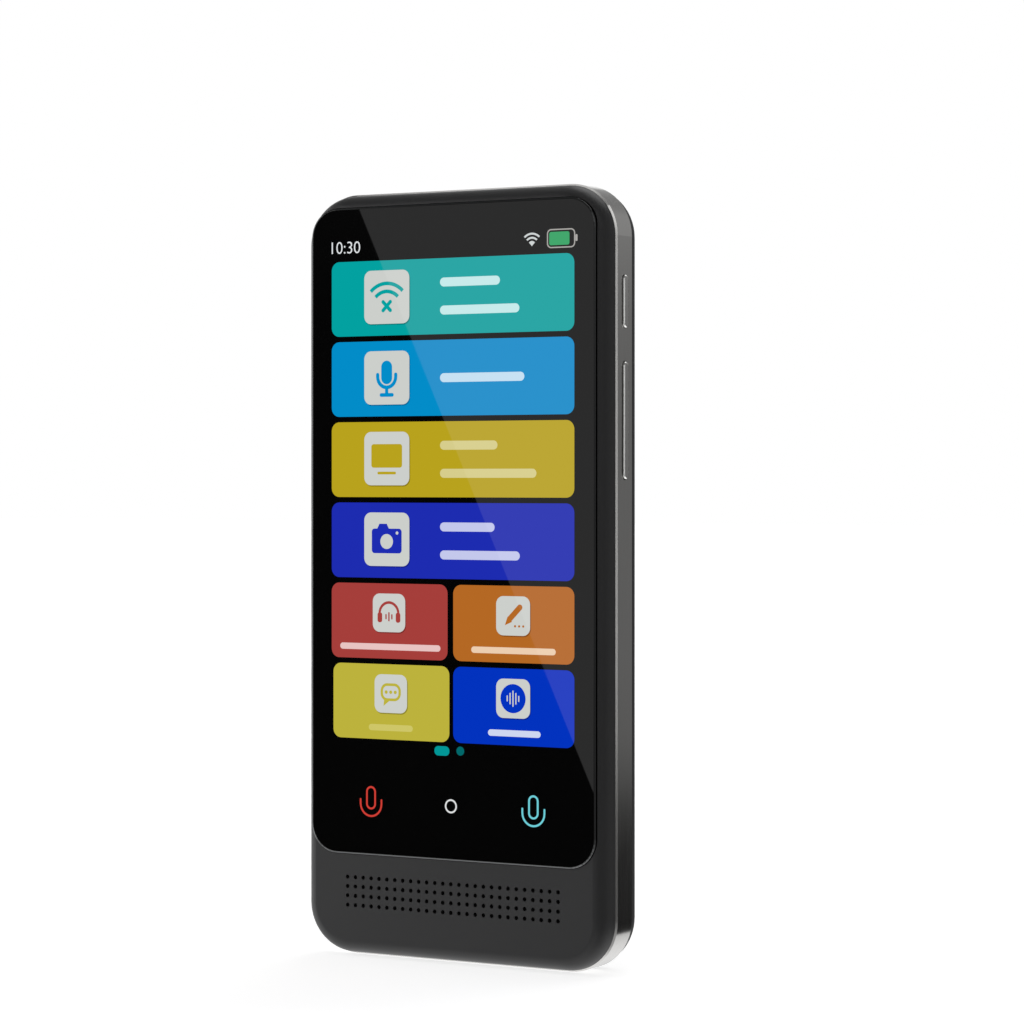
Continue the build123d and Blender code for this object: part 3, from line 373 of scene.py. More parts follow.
WOVEN_FINISHES = {
    # colour, scale of the threads, metallic
    "black_tape": (shade(20, 20, 21), 9000.0),
    "mesh": (shade(44, 44, 45), 21000.0, 0.6),
}


def make_finishes():
    """Every finish of the four tables, by name."""
    made = {}
    for make, table in ((moulded, MOULDED_FINISHES), (metal, METAL_FINISHES),
                        (polished, POLISHED_FINISHES), (woven, WOVEN_FINISHES)):
        for name, values in table.items():
            made[name] = make(name, *values)
    return made


FINISHES = make_finishes()


def dress_nodes():
    """Gives every carried-over node the finish of its slot, and the rear window a coated one."""
    for row in frame["record"]["subparts"]:
        mesh = nodes[row["node"]].data
        mesh.materials.clear()
        mesh.materials.append(FINISHES[row["material_slot"]])
    nodes["camera_window"].data.materials[0] = FINISHES["coated_window"]


dress_nodes()


# ---------------------------------------------------------------- new pieces
def close_mesh(shape, name):
    """Turns a finished shape into mesh data whose faces point outwards."""
    bmesh.ops.recalc_face_normals(shape, faces=shape.faces)
    data = bpy.data.meshes.new(name)
    shape.to_mesh(data)
    shape.free()
    return data


def place_piece(data, name, material, body="housing"):
    """Gives mesh data its finish and lets it ride on a body as one piece."""
    data.materials.append(material)
    piece = bpy.data.objects.new(name, data)
    bpy.context.scene.collection.objects.link(piece)
    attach(piece, body)


# ---------------------------------------------------------------- thin shapes of the lit screen
screen_low, screen_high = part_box("display_glass")
FACE = screen_low.y
SUNK = 0.01 * MM  # how far a shape reaches into the glass
LAYER = 0.02 * MM  # height of one layer in front of the glass
CORNER_SEGMENTS = 8
FULL_ROUND = 0.999  # share of a corner's radius, so that a round end keeps its last edges apart
ARC_STEPS = 14
RING_STEPS = 42
SHEET_MERGE = 1e-8


class Sheet:
    """Thin shapes on one plane in front of the glass, all of one finish.

    Its height is a number of layers. Places and sizes are in millimetres of the screen or, on an
    icon's sheet, in shares of the icon's size round the icon's middle.
    """

    def __init__(self, height, x=0.0, z=0.0, unit=1.0):
        self.mesh = bmesh.new()
        self.back = FACE + SUNK
        self.front = FACE - height * LAYER
        self.centre_on(x, z, unit)

    def centre_on(self, x, z, unit):
        """Sets the middle and the unit that later shapes are drawn with."""
        self.x = x
        self.z = z
        self.unit = unit

    def point(self, x, z, y=0.0):
        """A place on the sheet, in metres."""
        return Vector(((self.x + x * self.unit) * MM, y, (self.z + z * self.unit) * MM))

    def block(self, width, height, radius):
        """A rounded rectangle round X and Z zero, as its vertices."""
        before = set(self.mesh.verts)
        made = bmesh.ops.create_cube(self.mesh, size=1.0)
        depth = self.back - self.front
        size = (width * self.unit * MM, depth, height * self.unit * MM)
        bmesh.ops.scale(self.mesh, verts=made["verts"], vec=size)
        middle = (self.back + self.front) / 2
        bmesh.ops.translate(self.mesh, verts=made["verts"], vec=(0, middle, 0))
        if radius:
            edges = {e for v in made["verts"] for e in v.link_edges}
            upright = [e for e in edges if abs(e.verts[0].co.y - e.verts[1].co.y) > depth / 2]
            bmesh.ops.bevel(self.mesh, geom=upright, offset=radius * self.unit * MM * FULL_ROUND,
                            segments=CORNER_SEGMENTS, affect="EDGES", profile=0.5, material=-1,
                            offset_type="OFFSET")
        return [v for v in self.mesh.verts if v not in before]

    def plate(self, x, z, width, height, radius=0.0):
        """A rounded rectangle round its middle."""
        verts = self.block(width, height, radius)
        bmesh.ops.translate(self.mesh, verts=verts, vec=self.point(x, z))

    def disc(self, x, z, radius):
        """A round plate."""
        self.plate(x, z, 2 * radius, 2 * radius, radius)

    def bar(self, x0, z0, x1, z1, width):
        """A straight stroke with round ends, between two points."""
        length = math.hypot(x1 - x0, z1 - z0)
        verts = self.block(length + width, width, width / 2)
        slant = Matrix.Rotation(-math.atan2(z1 - z0, x1 - x0), 3, "Y")
        bmesh.ops.rotate(self.mesh, verts=verts, cent=(0, 0, 0), matrix=slant)
        bmesh.ops.translate(self.mesh, verts=verts, vec=self.point((x0 + x1) / 2, (z0 + z1) / 2))

    def prism(self, corners):
        """A closed thin piece from its outline of (x, z) corners."""
        verts = [self.mesh.verts.new(self.point(x, z, self.back)) for x, z in corners]
        face = self.mesh.faces.new(verts)
        grown = bmesh.ops.extrude_face_region(self.mesh, geom=[face], use_keep_orig=True)
        moved = [v for v in grown["geom"] if isinstance(v, bmesh.types.BMVert)]
        bmesh.ops.translate(self.mesh, verts=moved, vec=(0, self.front - self.back, 0))

    def arc(self, x, z, radius, width, start=0.0, end=360.0):
        """A curved stroke round (x, z), from angle start to angle end, in degrees from +X."""
        angle = math.radians(start)
        inner, outer = radius - width / 2, radius + width / 2
        section = []
        for reach, y in ((inner, self.back), (inner, self.front), (outer, self.front), (outer, self.back)):
            place = self.point(x + reach * math.cos(angle), z + reach * math.sin(angle), y)
            section.append(self.mesh.verts.new(place))
        sides = [self.mesh.edges.new((section[i], section[(i + 1) % 4])) for i in range(4)]
        geometry = section + sides
        full = end - start >= 360.0
        if not full:
            geometry.append(self.mesh.faces.new(section))
        bmesh.ops.spin(self.mesh, geom=geometry, cent=self.point(x, z), axis=(0, -1, 0),
                       angle=math.radians(end - start), steps=RING_STEPS if full else ARC_STEPS,
                       use_merge=full)

    def outline(self, x, z, width, height, radius, stroke):
        """A rounded rectangle drawn as a line, its outer size given."""
        half_x = width / 2 - radius
        half_z = height / 2 - radius
        line = radius - stroke / 2
        for quarter, (sx, sz) in enumerate(((1, 1), (-1, 1), (-1, -1), (1, -1))):
            self.arc(x + sx * half_x, z + sz * half_z, line, stroke, 90 * quarter, 90 * quarter + 90)
        for side in (-1, 1):
            if half_z > 0:
                self.plate(x + side * (half_x + line), z, stroke, 2 * half_z)
            if half_x > 0:
                self.plate(x, z + side * (half_z + line), 2 * half_x, stroke)

    def finish(self, name, material):
        """Turns the shapes into one piece of the lit screen."""
        bmesh.ops.remove_doubles(self.mesh, verts=self.mesh.verts, dist=SHEET_MERGE)
        place_piece(close_mesh(self.mesh, name), name, material)


# ---------------------------------------------------------------- icons, in shares of their size
STROKE = 0.07
THIN_STROKE = 0.04
WAVE_STROKE = 0.035
SOUND_WAVE = ((-2, 0.12), (-1, 0.26), (0, 0.38), (1, 0.26), (2, 0.12))
SOUND_PITCH = 0.085
HEADPHONE_WAVE = ((-1, 0.1), (0, 0.2), (1, 0.1))


def draw_signal_off(icon):
    """Two radio arcs over a small cross."""
    for radius in (0.35, 0.5):
        icon.arc(0, -0.245, radius, STROKE, 45, 135)
    for rise in (0.08, -0.08):
        icon.bar(-0.08, -0.17 - rise, 0.08, -0.17 + rise, STROKE)


def draw_microphone(icon):
    """Solid capsule in its cradle, on a foot."""
    icon.plate(0, 0.1, 0.24, 0.44, 0.12)
    icon.arc(0, 0.02, 0.2, STROKE, 180, 360)
    for x in (-0.2, 0.2):
        icon.bar(x, 0.02, x, 0.06, STROKE)
    icon.bar(0, -0.18, 0, -0.3, STROKE)
    icon.bar(-0.12, -0.32, 0.12, -0.32, STROKE)


def draw_monitor(icon):
    """Solid screen over a line for its stand."""
    icon.plate(0, 0.05, 0.68, 0.44, 0.05)
    icon.bar(-0.18, -0.27, 0.18, -0.27, 0.05)


def draw_camera(icon):
    """Body with a raised viewfinder."""
    icon.plate(0, -0.03, 0.66, 0.46, 0.06)
    icon.prism([(-0.22, 0.18), (0.06, 0.18), (0, 0.29), (-0.16, 0.29)])


def draw_headphones(icon):
    """Headband with two pads and a small wave between them."""
    icon.arc(0, -0.02, 0.29, STROKE, 0, 180)
    for x in (-0.28, 0.28):
        icon.plate(x, -0.12, 0.14, 0.26, 0.06)
    for step, height in HEADPHONE_WAVE:
        icon.bar(step * 0.09, -0.1 - height / 2, step * 0.09, -0.1 + height / 2, THIN_STROKE)


def draw_pencil(icon):
    """Slanted pencil with its tip at the lower left, and dots beside it."""
    icon.bar(-0.1, -0.08, 0.2, 0.22, 0.15)
    icon.prism([(-0.16, -0.02), (-0.24, -0.24), (-0.03, -0.15)])
    for step in (0, 1, 2):
        icon.disc(0.06 + 0.12 * step, -0.26, 0.03)


def draw_speech(icon):
    """Round speech balloon with its tail at the lower left."""
    icon.outline(0, 0.04, 0.62, 0.46, 0.2, STROKE)
    icon.prism([(-0.2, -0.14), (-0.22, -0.32), (-0.02, -0.17)])
    for step in (-1, 0, 1):
        icon.disc(0.14 * step, 0.04, 0.045)


def draw_sound(icon):
    """Disc that carries a sound wave."""
    icon.disc(0, 0, 0.37)


def draw_camera_lens(details):
    """The camera icon's lens and flash, in the square's colour."""
    details.disc(0, -0.04, 0.14)
    details.disc(0.23, 0.12, 0.03)


def draw_sound_wave(details):
    """The sound wave on the disc, in the square's colour."""
    for step, height in SOUND_WAVE:
        details.bar(SOUND_PITCH * step, -height / 2, SOUND_PITCH * step, height / 2, WAVE_STROKE)


# ---------------------------------------------------------------- screen layout, in millimetres
SCREEN_TOP = screen_high.z / MM
LAYOUT_X = 0.15
ROW_TOP = SCREEN_TOP - 11.5
ROW_PITCH = 17.18
TILE_HEIGHT = 16.0
TILE_WIDTH = 59.9
HALF_TILE_WIDTH = 29.25
HALF_TILE_X = 15.33
TILE_CORNER = 1.9
SQUARE_X = -15.9
SQUARE_RISE = 0.2
SQUARE_SIZE = 11.4
SMALL_SQUARE_RISE = 1.75
SMALL_SQUARE_SIZE = 8.2
SQUARE_CORNER = 1.7
SHADOW_X = 0.2
SHADOW_DROP = 0.25
CAPTION_LEFT = -2.4
CAPTION_HEIGHT = 1.9
LINE_PITCH = 5.9
LABEL_DROP = 5.5
LABEL_HEIGHT = 1.35
STATUS_Z = SCREEN_TOP - 8.4
CLOCK_X = -30.6
CLOCK_DROP = 1.3
CLOCK_SIZE = 3.7
CLOCK_THINNING = 0.03
SIGNAL_X = 20.0
SIGNAL_DROP = 1.35
BATTERY_X = 26.95
PAGES_Z = SCREEN_TOP - 115.2
MARKS_Z = SCREEN_TOP - 126.8
MARK_STROKE = 0.42
CRADLE_RADIUS = 2.65
HOME_STROKE = 0.36

# heights in front of the glass, in layers
TILE_LEVEL = 1
SHADOW_LEVEL = 1.5
SQUARE_LEVEL = 2
CAPTION_LEVEL = 2
ICON_LEVEL = 3
DETAIL_LEVEL = 4

TILES = [
    # name, colour, caption's colour, row, side (0 full, -1 left, 1 right), sideways nudge,
    # caption ends, icon, details on the icon
    ("signal", TEAL, shade(196, 232, 232), 0, 0, 0.0, (12.3, 17.0), draw_signal_off, None),
    ("talk", SKY, shade(196, 222, 240), 1, 0, 0.0, (18.2,), draw_microphone, None),
    ("screen", MUSTARD, shade(214, 205, 140), 2, 0, 0.0, (11.7, 21.1), draw_monitor, None),
    ("picture", ROYAL, shade(196, 200, 236), 3, 0, 0.0, (11.0, 17.1), draw_camera, draw_camera_lens),
    ("listen", BRICK, shade(232, 196, 194), 4, -1, 0.0, (-27.6, -2.3), draw_headphones, None),
    ("write", ORANGE, shade(236, 206, 176), 4, 1, 0.0, (5.3, 25.7), draw_pencil, None),
    ("chat", OLIVE, shade(206, 198, 104), 5, -1, 0.45, (-20.3, -9.2), draw_speech, None),
    ("record", COBALT, shade(206, 214, 240), 5, 1, 0.0, (9.4, 22.1), draw_sound, draw_sound_wave),
]


def draw_caption(caption, side, z, ends):
    """Bars where a tile's words go: one low in a small tile, one or two beside a wide one's icon."""
    if side:
        left, right = ends
        caption.plate((left + right) / 2, z - LABEL_DROP, right - left, LABEL_HEIGHT, LABEL_HEIGHT / 2)
        return
    first = z + LINE_PITCH / 2 * (len(ends) - 1)
    for line, right in enumerate(ends):
        caption.plate((CAPTION_LEFT + right) / 2, first - line * LINE_PITCH, right - CAPTION_LEFT,
                      CAPTION_HEIGHT, CAPTION_HEIGHT / 2)


def make_tiles():
    """The coloured tiles, each with its icon on a pale square and bars where its words go."""
    squares = Sheet(SQUARE_LEVEL)
    details = Sheet(DETAIL_LEVEL)
    for name, colour, caption_colour, row, side, nudge, ends, draw, draw_details in TILES:
        x = LAYOUT_X + side * HALF_TILE_X + nudge
        z = ROW_TOP - row * ROW_PITCH - TILE_HEIGHT / 2
        finish = lit(f"lit_{name}", colour)
        tile = Sheet(TILE_LEVEL)
        tile.plate(x, z, HALF_TILE_WIDTH if side else TILE_WIDTH, TILE_HEIGHT, TILE_CORNER)
        tile.finish(f"tile_{name}", finish)
        size = SMALL_SQUARE_SIZE if side else SQUARE_SIZE
        square_x = x if side else SQUARE_X + LAYOUT_X
        square_z = z + (SMALL_SQUARE_RISE if side else SQUARE_RISE)
        squares.plate(square_x, square_z, size, size, SQUARE_CORNER)
        shadow = Sheet(SHADOW_LEVEL)
        shadow.plate(square_x + SHADOW_X, square_z - SHADOW_DROP, size, size, SQUARE_CORNER)
        shadow.finish(f"shadow_{name}", lit(f"lit_shadow_{name}", darker(colour)))
        icon = Sheet(ICON_LEVEL, square_x, square_z, size)
        draw(icon)
        icon.finish(f"icon_{name}", finish)
        if draw_details:
            details.centre_on(square_x, square_z, size)
            draw_details(details)
        caption = Sheet(CAPTION_LEVEL)
        draw_caption(caption, side, z, ends)
        caption.finish(f"caption_{name}", lit(f"lit_caption_{name}", caption_colour))
    white = lit("lit_square", SQUARE_WHITE)
    squares.finish("icon_squares", white)
    details.finish("icon_details", white)


def make_clock():
    """Plain numerals for the time of day, at the screen's top left."""
    curve = bpy.data.curves.new("clock", "FONT")
    curve.body = "10:30"
    curve.size = CLOCK_SIZE * MM
    curve.offset = -CLOCK_THINNING * MM
    curve.extrude = LAYER / 2
    drawn = bpy.data.objects.new("clock_curve", curve)
    bpy.context.scene.collection.objects.link(drawn)
    data = bpy.data.meshes.new_from_object(drawn)
    bpy.data.objects.remove(drawn)
    upright = Matrix.Rotation(math.radians(90), 4, "X")
    place = Matrix.Translation((CLOCK_X * MM, FACE - LAYER / 2, (STATUS_Z - CLOCK_DROP) * MM))
    data.transform(place @ upright)
    data.materials.clear()
    place_piece(data, "clock_numerals", lit("lit_clock", NUMERAL_WHITE))


def make_status_row():
    """Signal arcs and battery at the screen's top right."""
    arcs = Sheet(TILE_LEVEL, SIGNAL_X, STATUS_Z - SIGNAL_DROP)
    for radius in (1.7, 2.55):
        arcs.arc(0, 0, radius, width=0.4, start=46, end=134)
    arcs.prism([(0, -0.05), (0.72, 0.74), (0.4, 0.97), (0, 1.06), (-0.4, 0.97), (-0.72, 0.74)])
    arcs.finish("signal_arcs", lit("lit_status", SIGNAL_WHITE))
    shell = Sheet(TILE_LEVEL, BATTERY_X, STATUS_Z)
    shell.outline(0, 0, width=6.7, height=3.95, radius=1.0, stroke=0.26)
    shell.plate(3.65, 0, width=0.5, height=1.4, radius=0.2)
    shell.finish("battery_outline", lit("lit_battery_outline", BATTERY_GREY))
    charge = Sheet(TILE_LEVEL, BATTERY_X, STATUS_Z)
    charge.plate(-0.4, 0, width=4.8, height=2.75, radius=0.45)
    charge.finish("battery_level", lit("lit_battery_level", BATTERY_GREEN))


def make_talk_mark(name, x, colour):
    """Outlined microphone capsule in its cradle."""
    mark = Sheet(TILE_LEVEL, x, MARKS_Z)
    mark.outline(0, 0.8, width=2.5, height=5.0, radius=1.24, stroke=MARK_STROKE)
    mark.arc(0, -0.45, CRADLE_RADIUS, MARK_STROKE, start=180, end=360)
    for side in (-CRADLE_RADIUS, CRADLE_RADIUS):
        mark.bar(side, -0.45, side, 0.4, MARK_STROKE)
    mark.finish(f"talk_mark_{name}", lit(f"lit_talk_{name}", colour))


def make_bottom_row():
    """Page dots, and the talk and home marks under the tiles."""
    page = Sheet(TILE_LEVEL)
    page.plate(-1.95, PAGES_Z - 0.05, width=3.7, height=2.0, radius=0.95)
    page.finish("page_bar", lit("lit_page_bar", PAGE_TEAL))
    other = Sheet(TILE_LEVEL)
    other.disc(2.6, PAGES_Z + 0.1, radius=0.95)
    other.finish("page_dot", lit("lit_page_dot", OTHER_PAGE_TEAL))
    make_talk_mark("left", -19.75, TALK_RED)
    make_talk_mark("right", 20.35, TALK_BLUE)
    home = Sheet(TILE_LEVEL)
    home.arc(0.28, MARKS_Z, radius=1.3, width=HOME_STROKE)
    home.finish("home_ring", lit("lit_home_ring", HOME_WHITE))


make_tiles()
make_clock()
make_status_row()
make_bottom_row()


# ---------------------------------------------------------------- ground edges of glass and keys
EDGE_STEPS = 10
EDGE_MERGE = 1e-7
GLASS_CORNER = 6.2 * MM
GLASS_RIM_WIDTH = 0.262 * MM
GLASS_RIM_DROP = 0.145 * MM
KEY_WIDTH = 1.9 * MM
KEY_CORNER = 0.931 * MM
KEY_RIM_WIDTH = 0.2 * MM
KEY_RIM_DROP = 0.2 * MM
KEYS = [
    # node, body, length of the part that shows
    ("power_button", "power_key", 10.9 * MM),
    ("volume_rocker", "volume_key", 24.2 * MM),
]


def slope(width, drop):
    """Section of a flat sloping edge that lies against a rounded one, as (outward, forward)."""
    return [(-width, 0.0), (0.0, -drop), (-width / 2, -drop)]


def edge_ring(section, width, height, radius):
    """A closed ring of one section round a rounded rectangle that faces the front."""
    ring = bmesh.new()
    flat_x = width / 2 - radius
    flat_z = height / 2 - radius
    start = [ring.verts.new((flat_x + radius + out, -forward, -flat_z)) for out, forward in section]
    edges = [ring.edges.new((start[i - 1], start[i])) for i in range(len(start))]
    for quarter in range(4):
        long, short = (flat_x, flat_z) if quarter % 2 else (flat_z, flat_x)
        side = Matrix.Rotation(math.radians(-90 * quarter), 3, "Y")
        grown = bmesh.ops.extrude_edge_only(ring, edges=edges)["geom"]
        verts = [item for item in grown if isinstance(item, bmesh.types.BMVert)]
        bmesh.ops.translate(ring, verts=verts, vec=side @ Vector((0, 0, 2 * long)))
        edges = [item for item in grown if isinstance(item, bmesh.types.BMEdge)]
        turned = bmesh.ops.spin(ring, geom=verts + edges, cent=side @ Vector((short, 0, long)),
                                axis=(0, -1, 0), angle=math.radians(90), steps=EDGE_STEPS,
                                use_merge=False)
        edges = [item for item in turned["geom_last"] if isinstance(item, bmesh.types.BMEdge)]
    bmesh.ops.remove_doubles(ring, verts=ring.verts, dist=EDGE_MERGE)
    return ring


def make_glass_rim():
    """The cover glass's ground rim."""
    middle = (screen_low + screen_high) / 2
    size = screen_high - screen_low
    rim = edge_ring(slope(GLASS_RIM_WIDTH, GLASS_RIM_DROP), size.x, size.z, GLASS_CORNER)
    bmesh.ops.translate(rim, verts=rim.verts, vec=(middle.x, FACE, middle.z))
    place_piece(close_mesh(rim, "glass_rim"), "glass_rim", FINISHES["glass_rim"])


def make_key_rims():
    """The bevelled rims of both side keys."""
    outward = Matrix.Rotation(math.radians(90), 4, "Z")
    for node, body, length in KEYS:
        low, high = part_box(node)
        rim = edge_ring(slope(KEY_RIM_WIDTH, KEY_RIM_DROP), KEY_WIDTH, length, KEY_CORNER)
        place = Matrix.Translation((high.x, 0, (low.z + high.z) / 2))
        bmesh.ops.transform(rim, matrix=place @ outward, verts=rim.verts)
        name = f"{body}_rim"
        place_piece(close_mesh(rim, name), name, FINISHES["key_rim"], body)


make_glass_rim()
make_key_rims()


# ---------------------------------------------------------------- camera lens in the rear window
LENS_RADIUS = 2.1 * MM
LENS_FLATNESS = 0.05
LENS_COLUMNS = 40
LENS_RINGS = 20
# painted reflection on the lens: blue crescents and a ring, given as emitted colour
LENS_PAINTED_REFLECTION = [
    # share of the half width, colour
    (0.0, shade(4, 6, 44)), (0.1, shade(4, 6, 44)), (0.2, shade(128, 164, 216)),
    (0.3, shade(120, 140, 212)), (0.42, shade(4, 18, 84)), (0.64, shade(2, 10, 50)),
    (0.72, shade(40, 62, 108)), (0.8, shade(3, 8, 30)), (1.0, shade(1, 2, 6)),
]


def fill_ramp(ramp, stops):
    """Gives a colour ramp its (position, colour) stops."""
    elements = ramp.color_ramp.elements
    elements.remove(elements[-1])
    for index, (position, colour) in enumerate(stops):
        element = elements[0] if index == 0 else elements.new(position)
        element.position = position
        element.color = colour


def lens_painted_reflection(centre):
    """Near black lens with a painted reflection: upright blue crescents of emitted colour, brightest near
    the middle.
    """
    material, tree, shader = new_finish("lens_painted_reflection")
    from_group(tree, shader, SMUDGE, {"Roughness": 0.05, "Haze": 0.01})
    shader.inputs["Base Color"].default_value = shade(8, 12, 40)
    shader.inputs["Coat Weight"].default_value = 1.0
    shader.inputs["Coat Roughness"].default_value = 0.02
    shader.inputs["Emission Strength"].default_value = 1.0
    place = add(tree, "ShaderNodeTexCoord").outputs["Object"]
    centred = add(tree, "ShaderNodeVectorMath", {0: place, 1: centre}, operation="SUBTRACT")
    axes = add(tree, "ShaderNodeSeparateXYZ", {
        "Vector": scaled(tree, centred.outputs["Vector"], 1 / LENS_RADIUS)})
    square = calculate(tree, "MULTIPLY", axes.outputs["Z"], axes.outputs["Z"])
    rest = calculate(tree, "MAXIMUM", calculate(tree, "SUBTRACT", 1.0, square), 0.001)
    half_width = calculate(tree, "SQRT", rest)
    share = calculate(tree, "DIVIDE", calculate(tree, "ABSOLUTE", axes.outputs["X"]), half_width)
    ramp = add(tree, "ShaderNodeValToRGB", {"Fac": share})
    fill_ramp(ramp, LENS_PAINTED_REFLECTION)
    # the painted reflection glows as emitted colour and fades towards the lens's rim
    glow = scaled(tree, ramp.outputs["Color"], half_width)
    tree.links.new(glow, shader.inputs["Emission Color"])
    return material


def make_lens_eye():
    """Shallow dome of the camera lens, at the long window's middle."""
    low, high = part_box("camera_window")
    centre = Vector((0, high.y, (low.z + high.z) / 2))
    eye = bmesh.new()
    bmesh.ops.create_uvsphere(eye, u_segments=LENS_COLUMNS, v_segments=LENS_RINGS, radius=LENS_RADIUS)
    bmesh.ops.scale(eye, verts=eye.verts, vec=(1, LENS_FLATNESS, 1))
    for vert in eye.verts:
        vert.co.y = max(vert.co.y, 0.0)
    bmesh.ops.translate(eye, verts=eye.verts, vec=centre)
    data = close_mesh(eye, "lens_eye")
    data.shade_smooth()
    place_piece(data, "lens_eye", lens_painted_reflection(centre))


make_lens_eye()


# ---------------------------------------------------------------- studio
MIDDLE = Vector((0.0, 0.0, 0.08))
FLOOR_REACH = 6.0
FLOOR_DROP = 0.0001
FLOOR_ROUGHNESS = 0.9
BACKDROP = ((-0.77, 0.64, 0.0), 36.0, 26.0)  # its middle, outer and inner half angle
DARK_CARDS = [
    # middle of the card, stretch of its height, outer and inner half angle, share of light left
    ((-0.51, -0.86, 0.0), 1.0, 32.0, 14.0, 0.1),
    ((0.448, 0.755, -0.479), 2.5, 16.7, 14.0, 0.04),
    ((0.81, -0.47, -0.35), 1.0, 50.0, 15.0, 0.4),
]
STUDIO_LEVELS = [
    # sine of the height above the horizon, light level
    (-1.0, 1.2), (-0.5, 1.1), (-0.35, 0.8), (-0.2, 0.4), (-0.12, 0.2), (-0.06, 0.18),
    (0.055, 0.18), (0.085, 0.35), (0.4, 0.36), (0.6, 0.13), (1.0, 0.13),
]


def make_floor():
    """Plain white floor that keeps the soft shadow and fades to white with distance."""
    paper = bmesh.new()
    bmesh.ops.create_grid(paper, x_segments=1, y_segments=1, size=FLOOR_REACH)
    data = bpy.data.meshes.new("floor")
    paper.to_mesh(data)
    paper.free()
    floor = bpy.data.objects.new("floor", data)
    bpy.context.scene.collection.objects.link(floor)
    floor.location.z = -FLOOR_DROP
    floor.visible_glossy = False
    material, tree, shader = new_finish("floor_paper")
    shader.inputs["Base Color"].default_value = PAPER
    shader.inputs["Roughness"].default_value = FLOOR_ROUGHNESS
    shader.inputs["Specular IOR Level"].default_value = 0.0
    shader.inputs["Emission Color"].default_value = WHITE
    place = add(tree, "ShaderNodeTexCoord").outputs["Object"]
    reach = add(tree, "ShaderNodeVectorMath", {0: place}, operation="LENGTH")
    lift = add(tree, "ShaderNodeMapRange", {
        "Value": reach.outputs["Value"], "From Min": 0.15, "From Max": 1.2,
        "To Min": 0.73, "To Max": 0.96})
    path = add(tree, "ShaderNodeLightPath")
    glow = calculate(tree, "MULTIPLY", path.outputs["Is Camera Ray"], lift.outputs["Result"])
    tree.links.new(glow, shader.inputs["Emission Strength"])
    data.materials.append(material)


def cone(tree, direction, axis, wide, narrow):
    """1 inside a cone round an axis and 0 outside it, with a soft rim between two half angles."""
    facing = add(tree, "ShaderNodeVectorMath", {0: direction, 1: axis}, operation="DOT_PRODUCT")
    rim = add(tree, "ShaderNodeMapRange", {
        "Value": facing.outputs["Value"], "From Min": math.cos(math.radians(wide)),
        "From Max": math.cos(math.radians(narrow))}, interpolation_type="SMOOTHSTEP")
    return rim.outputs["Result"]


def darkened(tree, direction, strength, card):
    """The studio's strength with one dark card held up in it."""
    middle, stretch, wide, narrow, left = card
    tall = add(tree, "ShaderNodeVectorMath", {0: direction, 1: (1, 1, stretch)}, operation="MULTIPLY")
    aimed = add(tree, "ShaderNodeVectorMath", {0: tall.outputs["Vector"]}, operation="NORMALIZE")
    inside = cone(tree, aimed.outputs["Vector"], middle, wide, narrow)
    return calculate(tree, "MULTIPLY", strength, between(tree, inside, 1.0, left))


def make_world():
    """Studio surroundings, dim near the horizon, with a white backdrop behind the object."""
    bpy.context.scene.view_settings.view_transform = "Standard"
    world = bpy.data.worlds.new("studio")
    bpy.context.scene.world = world
    world.use_nodes = True
    tree = world.node_tree
    tree.nodes.clear()
    direction = add(tree, "ShaderNodeTexCoord").outputs["Generated"]
    axes = add(tree, "ShaderNodeSeparateXYZ", {"Vector": direction})
    height = add(tree, "ShaderNodeMapRange", {"Value": axes.outputs["Z"], "From Min": -1.0})
    ramp = add(tree, "ShaderNodeValToRGB", {"Fac": height.outputs["Result"]})
    strength = max(level for sine, level in STUDIO_LEVELS)
    fill_ramp(ramp, [((sine + 1) / 2, darker(WHITE, level / strength)) for sine, level in STUDIO_LEVELS])
    for card in DARK_CARDS:
        strength = darkened(tree, direction, strength, card)
    studio = add(tree, "ShaderNodeBackground", {"Color": ramp.outputs["Color"], "Strength": strength})
    white = add(tree, "ShaderNodeBackground", {"Color": WHITE, "Strength": 1.0})
    path = add(tree, "ShaderNodeLightPath")
    mirrored = calculate(tree, "MAXIMUM", path.outputs["Is Glossy Ray"],
                         path.outputs["Is Transmission Ray"])
    behind = calculate(tree, "MULTIPLY", mirrored, cone(tree, direction, *BACKDROP))
    seen = calculate(tree, "MAXIMUM", path.outputs["Is Camera Ray"], behind)
    mix = add(tree, "ShaderNodeMixShader", {"Fac": seen})
    tree.links.new(studio.outputs[0], mix.inputs[1])
    tree.links.new(white.outputs[0], mix.inputs[2])
    out = add(tree, "ShaderNodeOutputWorld")
    tree.links.new(mix.outputs[0], out.inputs["Surface"])


# ---------------------------------------------------------------- lamps
# the camera's line of sight after the glass mirrors it, and the level line across it
SIGHT_BACK = Vector((-0.50997, -0.86020, 0))
SIGHT_SIDE = Vector((0.86020, -0.50997, 0))
UP = Vector((0, 0, 1))
CARD_DISTANCE = 1.5
CARD_EDGE_TOP = (-0.090, 0.285)  # sideways and up from that line, in metres
CARD_EDGE_FOOT = (0.067, -0.106)
CARD_LENGTH = 0.63
CARD_WIDTH = 0.5
CARD_RISE = 0.05
CARD_LEVEL = 0.56
CEILING_PLACE = Vector((0.33, -0.32, 0.98))
CEILING_RUN = (-0.89, 0.45)


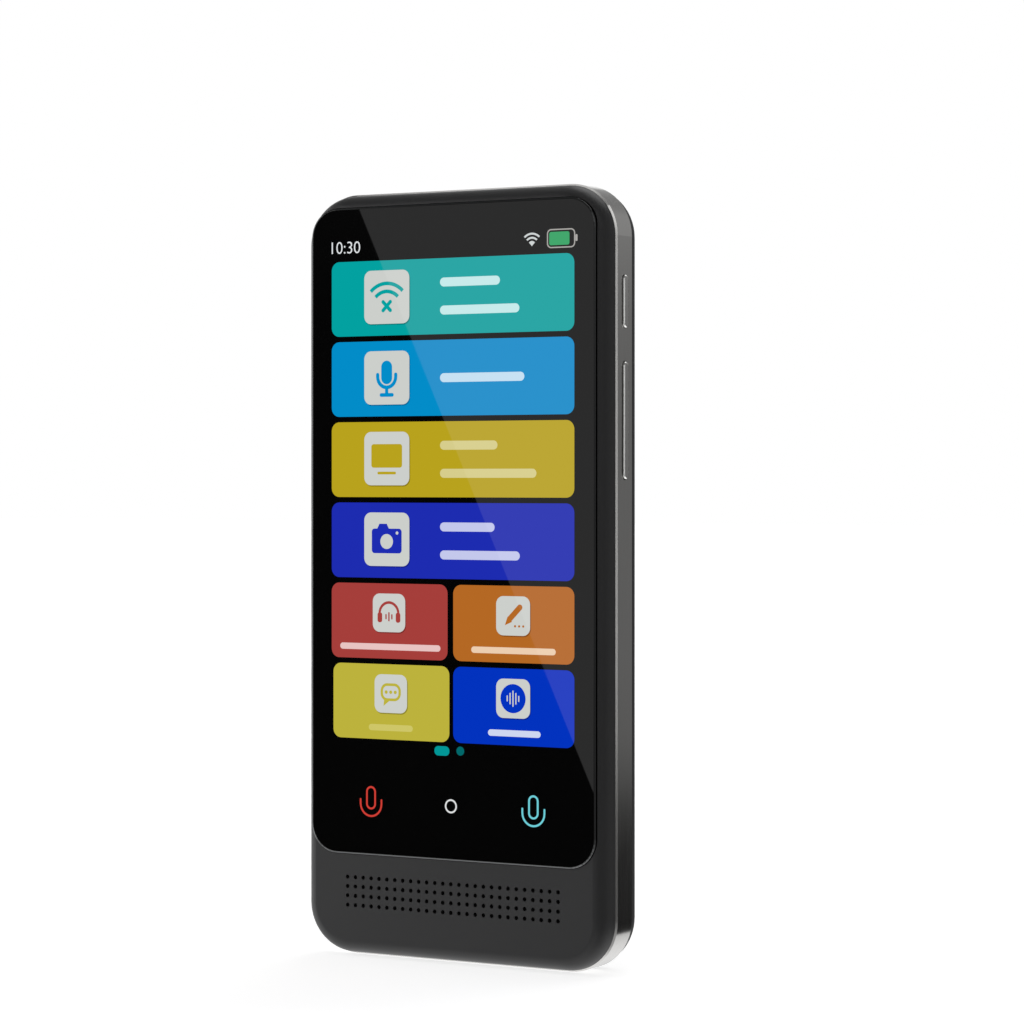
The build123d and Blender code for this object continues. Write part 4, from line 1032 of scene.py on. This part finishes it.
def softbox(name, place, target, width, height, level):
    """A rectangular lamp that faces a point, as bright as level when looked at."""
    data = bpy.data.lights.new(name, "AREA")
    data.shape = "RECTANGLE"
    data.size = width
    data.size_y = height
    data.energy = level * math.pi * width * height
    lamp = bpy.data.objects.new(name, data)
    bpy.context.scene.collection.objects.link(lamp)
    lamp.location = place
    lamp.rotation_mode = "QUATERNION"
    lamp.rotation_quaternion = (target - place).to_track_quat("-Z", "Y")
    lamp.visible_camera = False
    return lamp


def around(azimuth, elevation, distance):
    """A point round the object: azimuth 0 is in front of the screen and 90 is at its right."""
    turn = math.radians(azimuth)
    rise = math.radians(elevation)
    level = distance * math.cos(rise)
    return MIDDLE + Vector((level * math.sin(turn), -level * math.cos(turn), distance * math.sin(rise)))


def reflection_card():
    """Slanted card that the glass mirrors to the camera, its edge a pale diagonal on the screen."""
    centre = Vector((0, FACE, 0)) + CARD_DISTANCE * SIGHT_BACK
    top = centre + SIGHT_SIDE * CARD_EDGE_TOP[0] + UP * CARD_EDGE_TOP[1]
    foot = centre + SIGHT_SIDE * CARD_EDGE_FOOT[0] + UP * CARD_EDGE_FOOT[1]
    along = (top - foot).normalized()
    across = along.cross(SIGHT_BACK)
    place = (top + foot) / 2 + along * CARD_RISE + across * CARD_WIDTH / 2
    lamp = softbox("reflection_card", place, place - SIGHT_BACK, CARD_WIDTH, CARD_LENGTH, CARD_LEVEL)
    turn = Matrix((across, along, SIGHT_BACK)).transposed()
    lamp.rotation_quaternion = turn.to_quaternion()


def ceiling_strip():
    """Long narrow lamp overhead, from the front right to the back left."""
    lamp = softbox("ceiling_strip", CEILING_PLACE, CEILING_PLACE - UP, width=2.0, height=0.1, level=0.8)
    lamp.rotation_mode = "XYZ"
    lamp.rotation_euler = (0, 0, math.atan2(CEILING_RUN[1], CEILING_RUN[0]))


make_floor()
make_world()
softbox("left_softbox", around(-60, 5, 1.4), MIDDLE, width=1.2, height=1.5, level=1.45)
softbox("left_panel", around(-99, 5, 1.4), MIDDLE, width=0.72, height=1.5, level=0.75)
softbox("right_strip", around(59, 23, 1.3), MIDDLE, width=0.15, height=1.46, level=0.85)
ceiling_strip()
softbox("back_softbox", around(180, 55, 1.3), MIDDLE, width=1.0, height=0.8, level=1.5)
reflection_card()
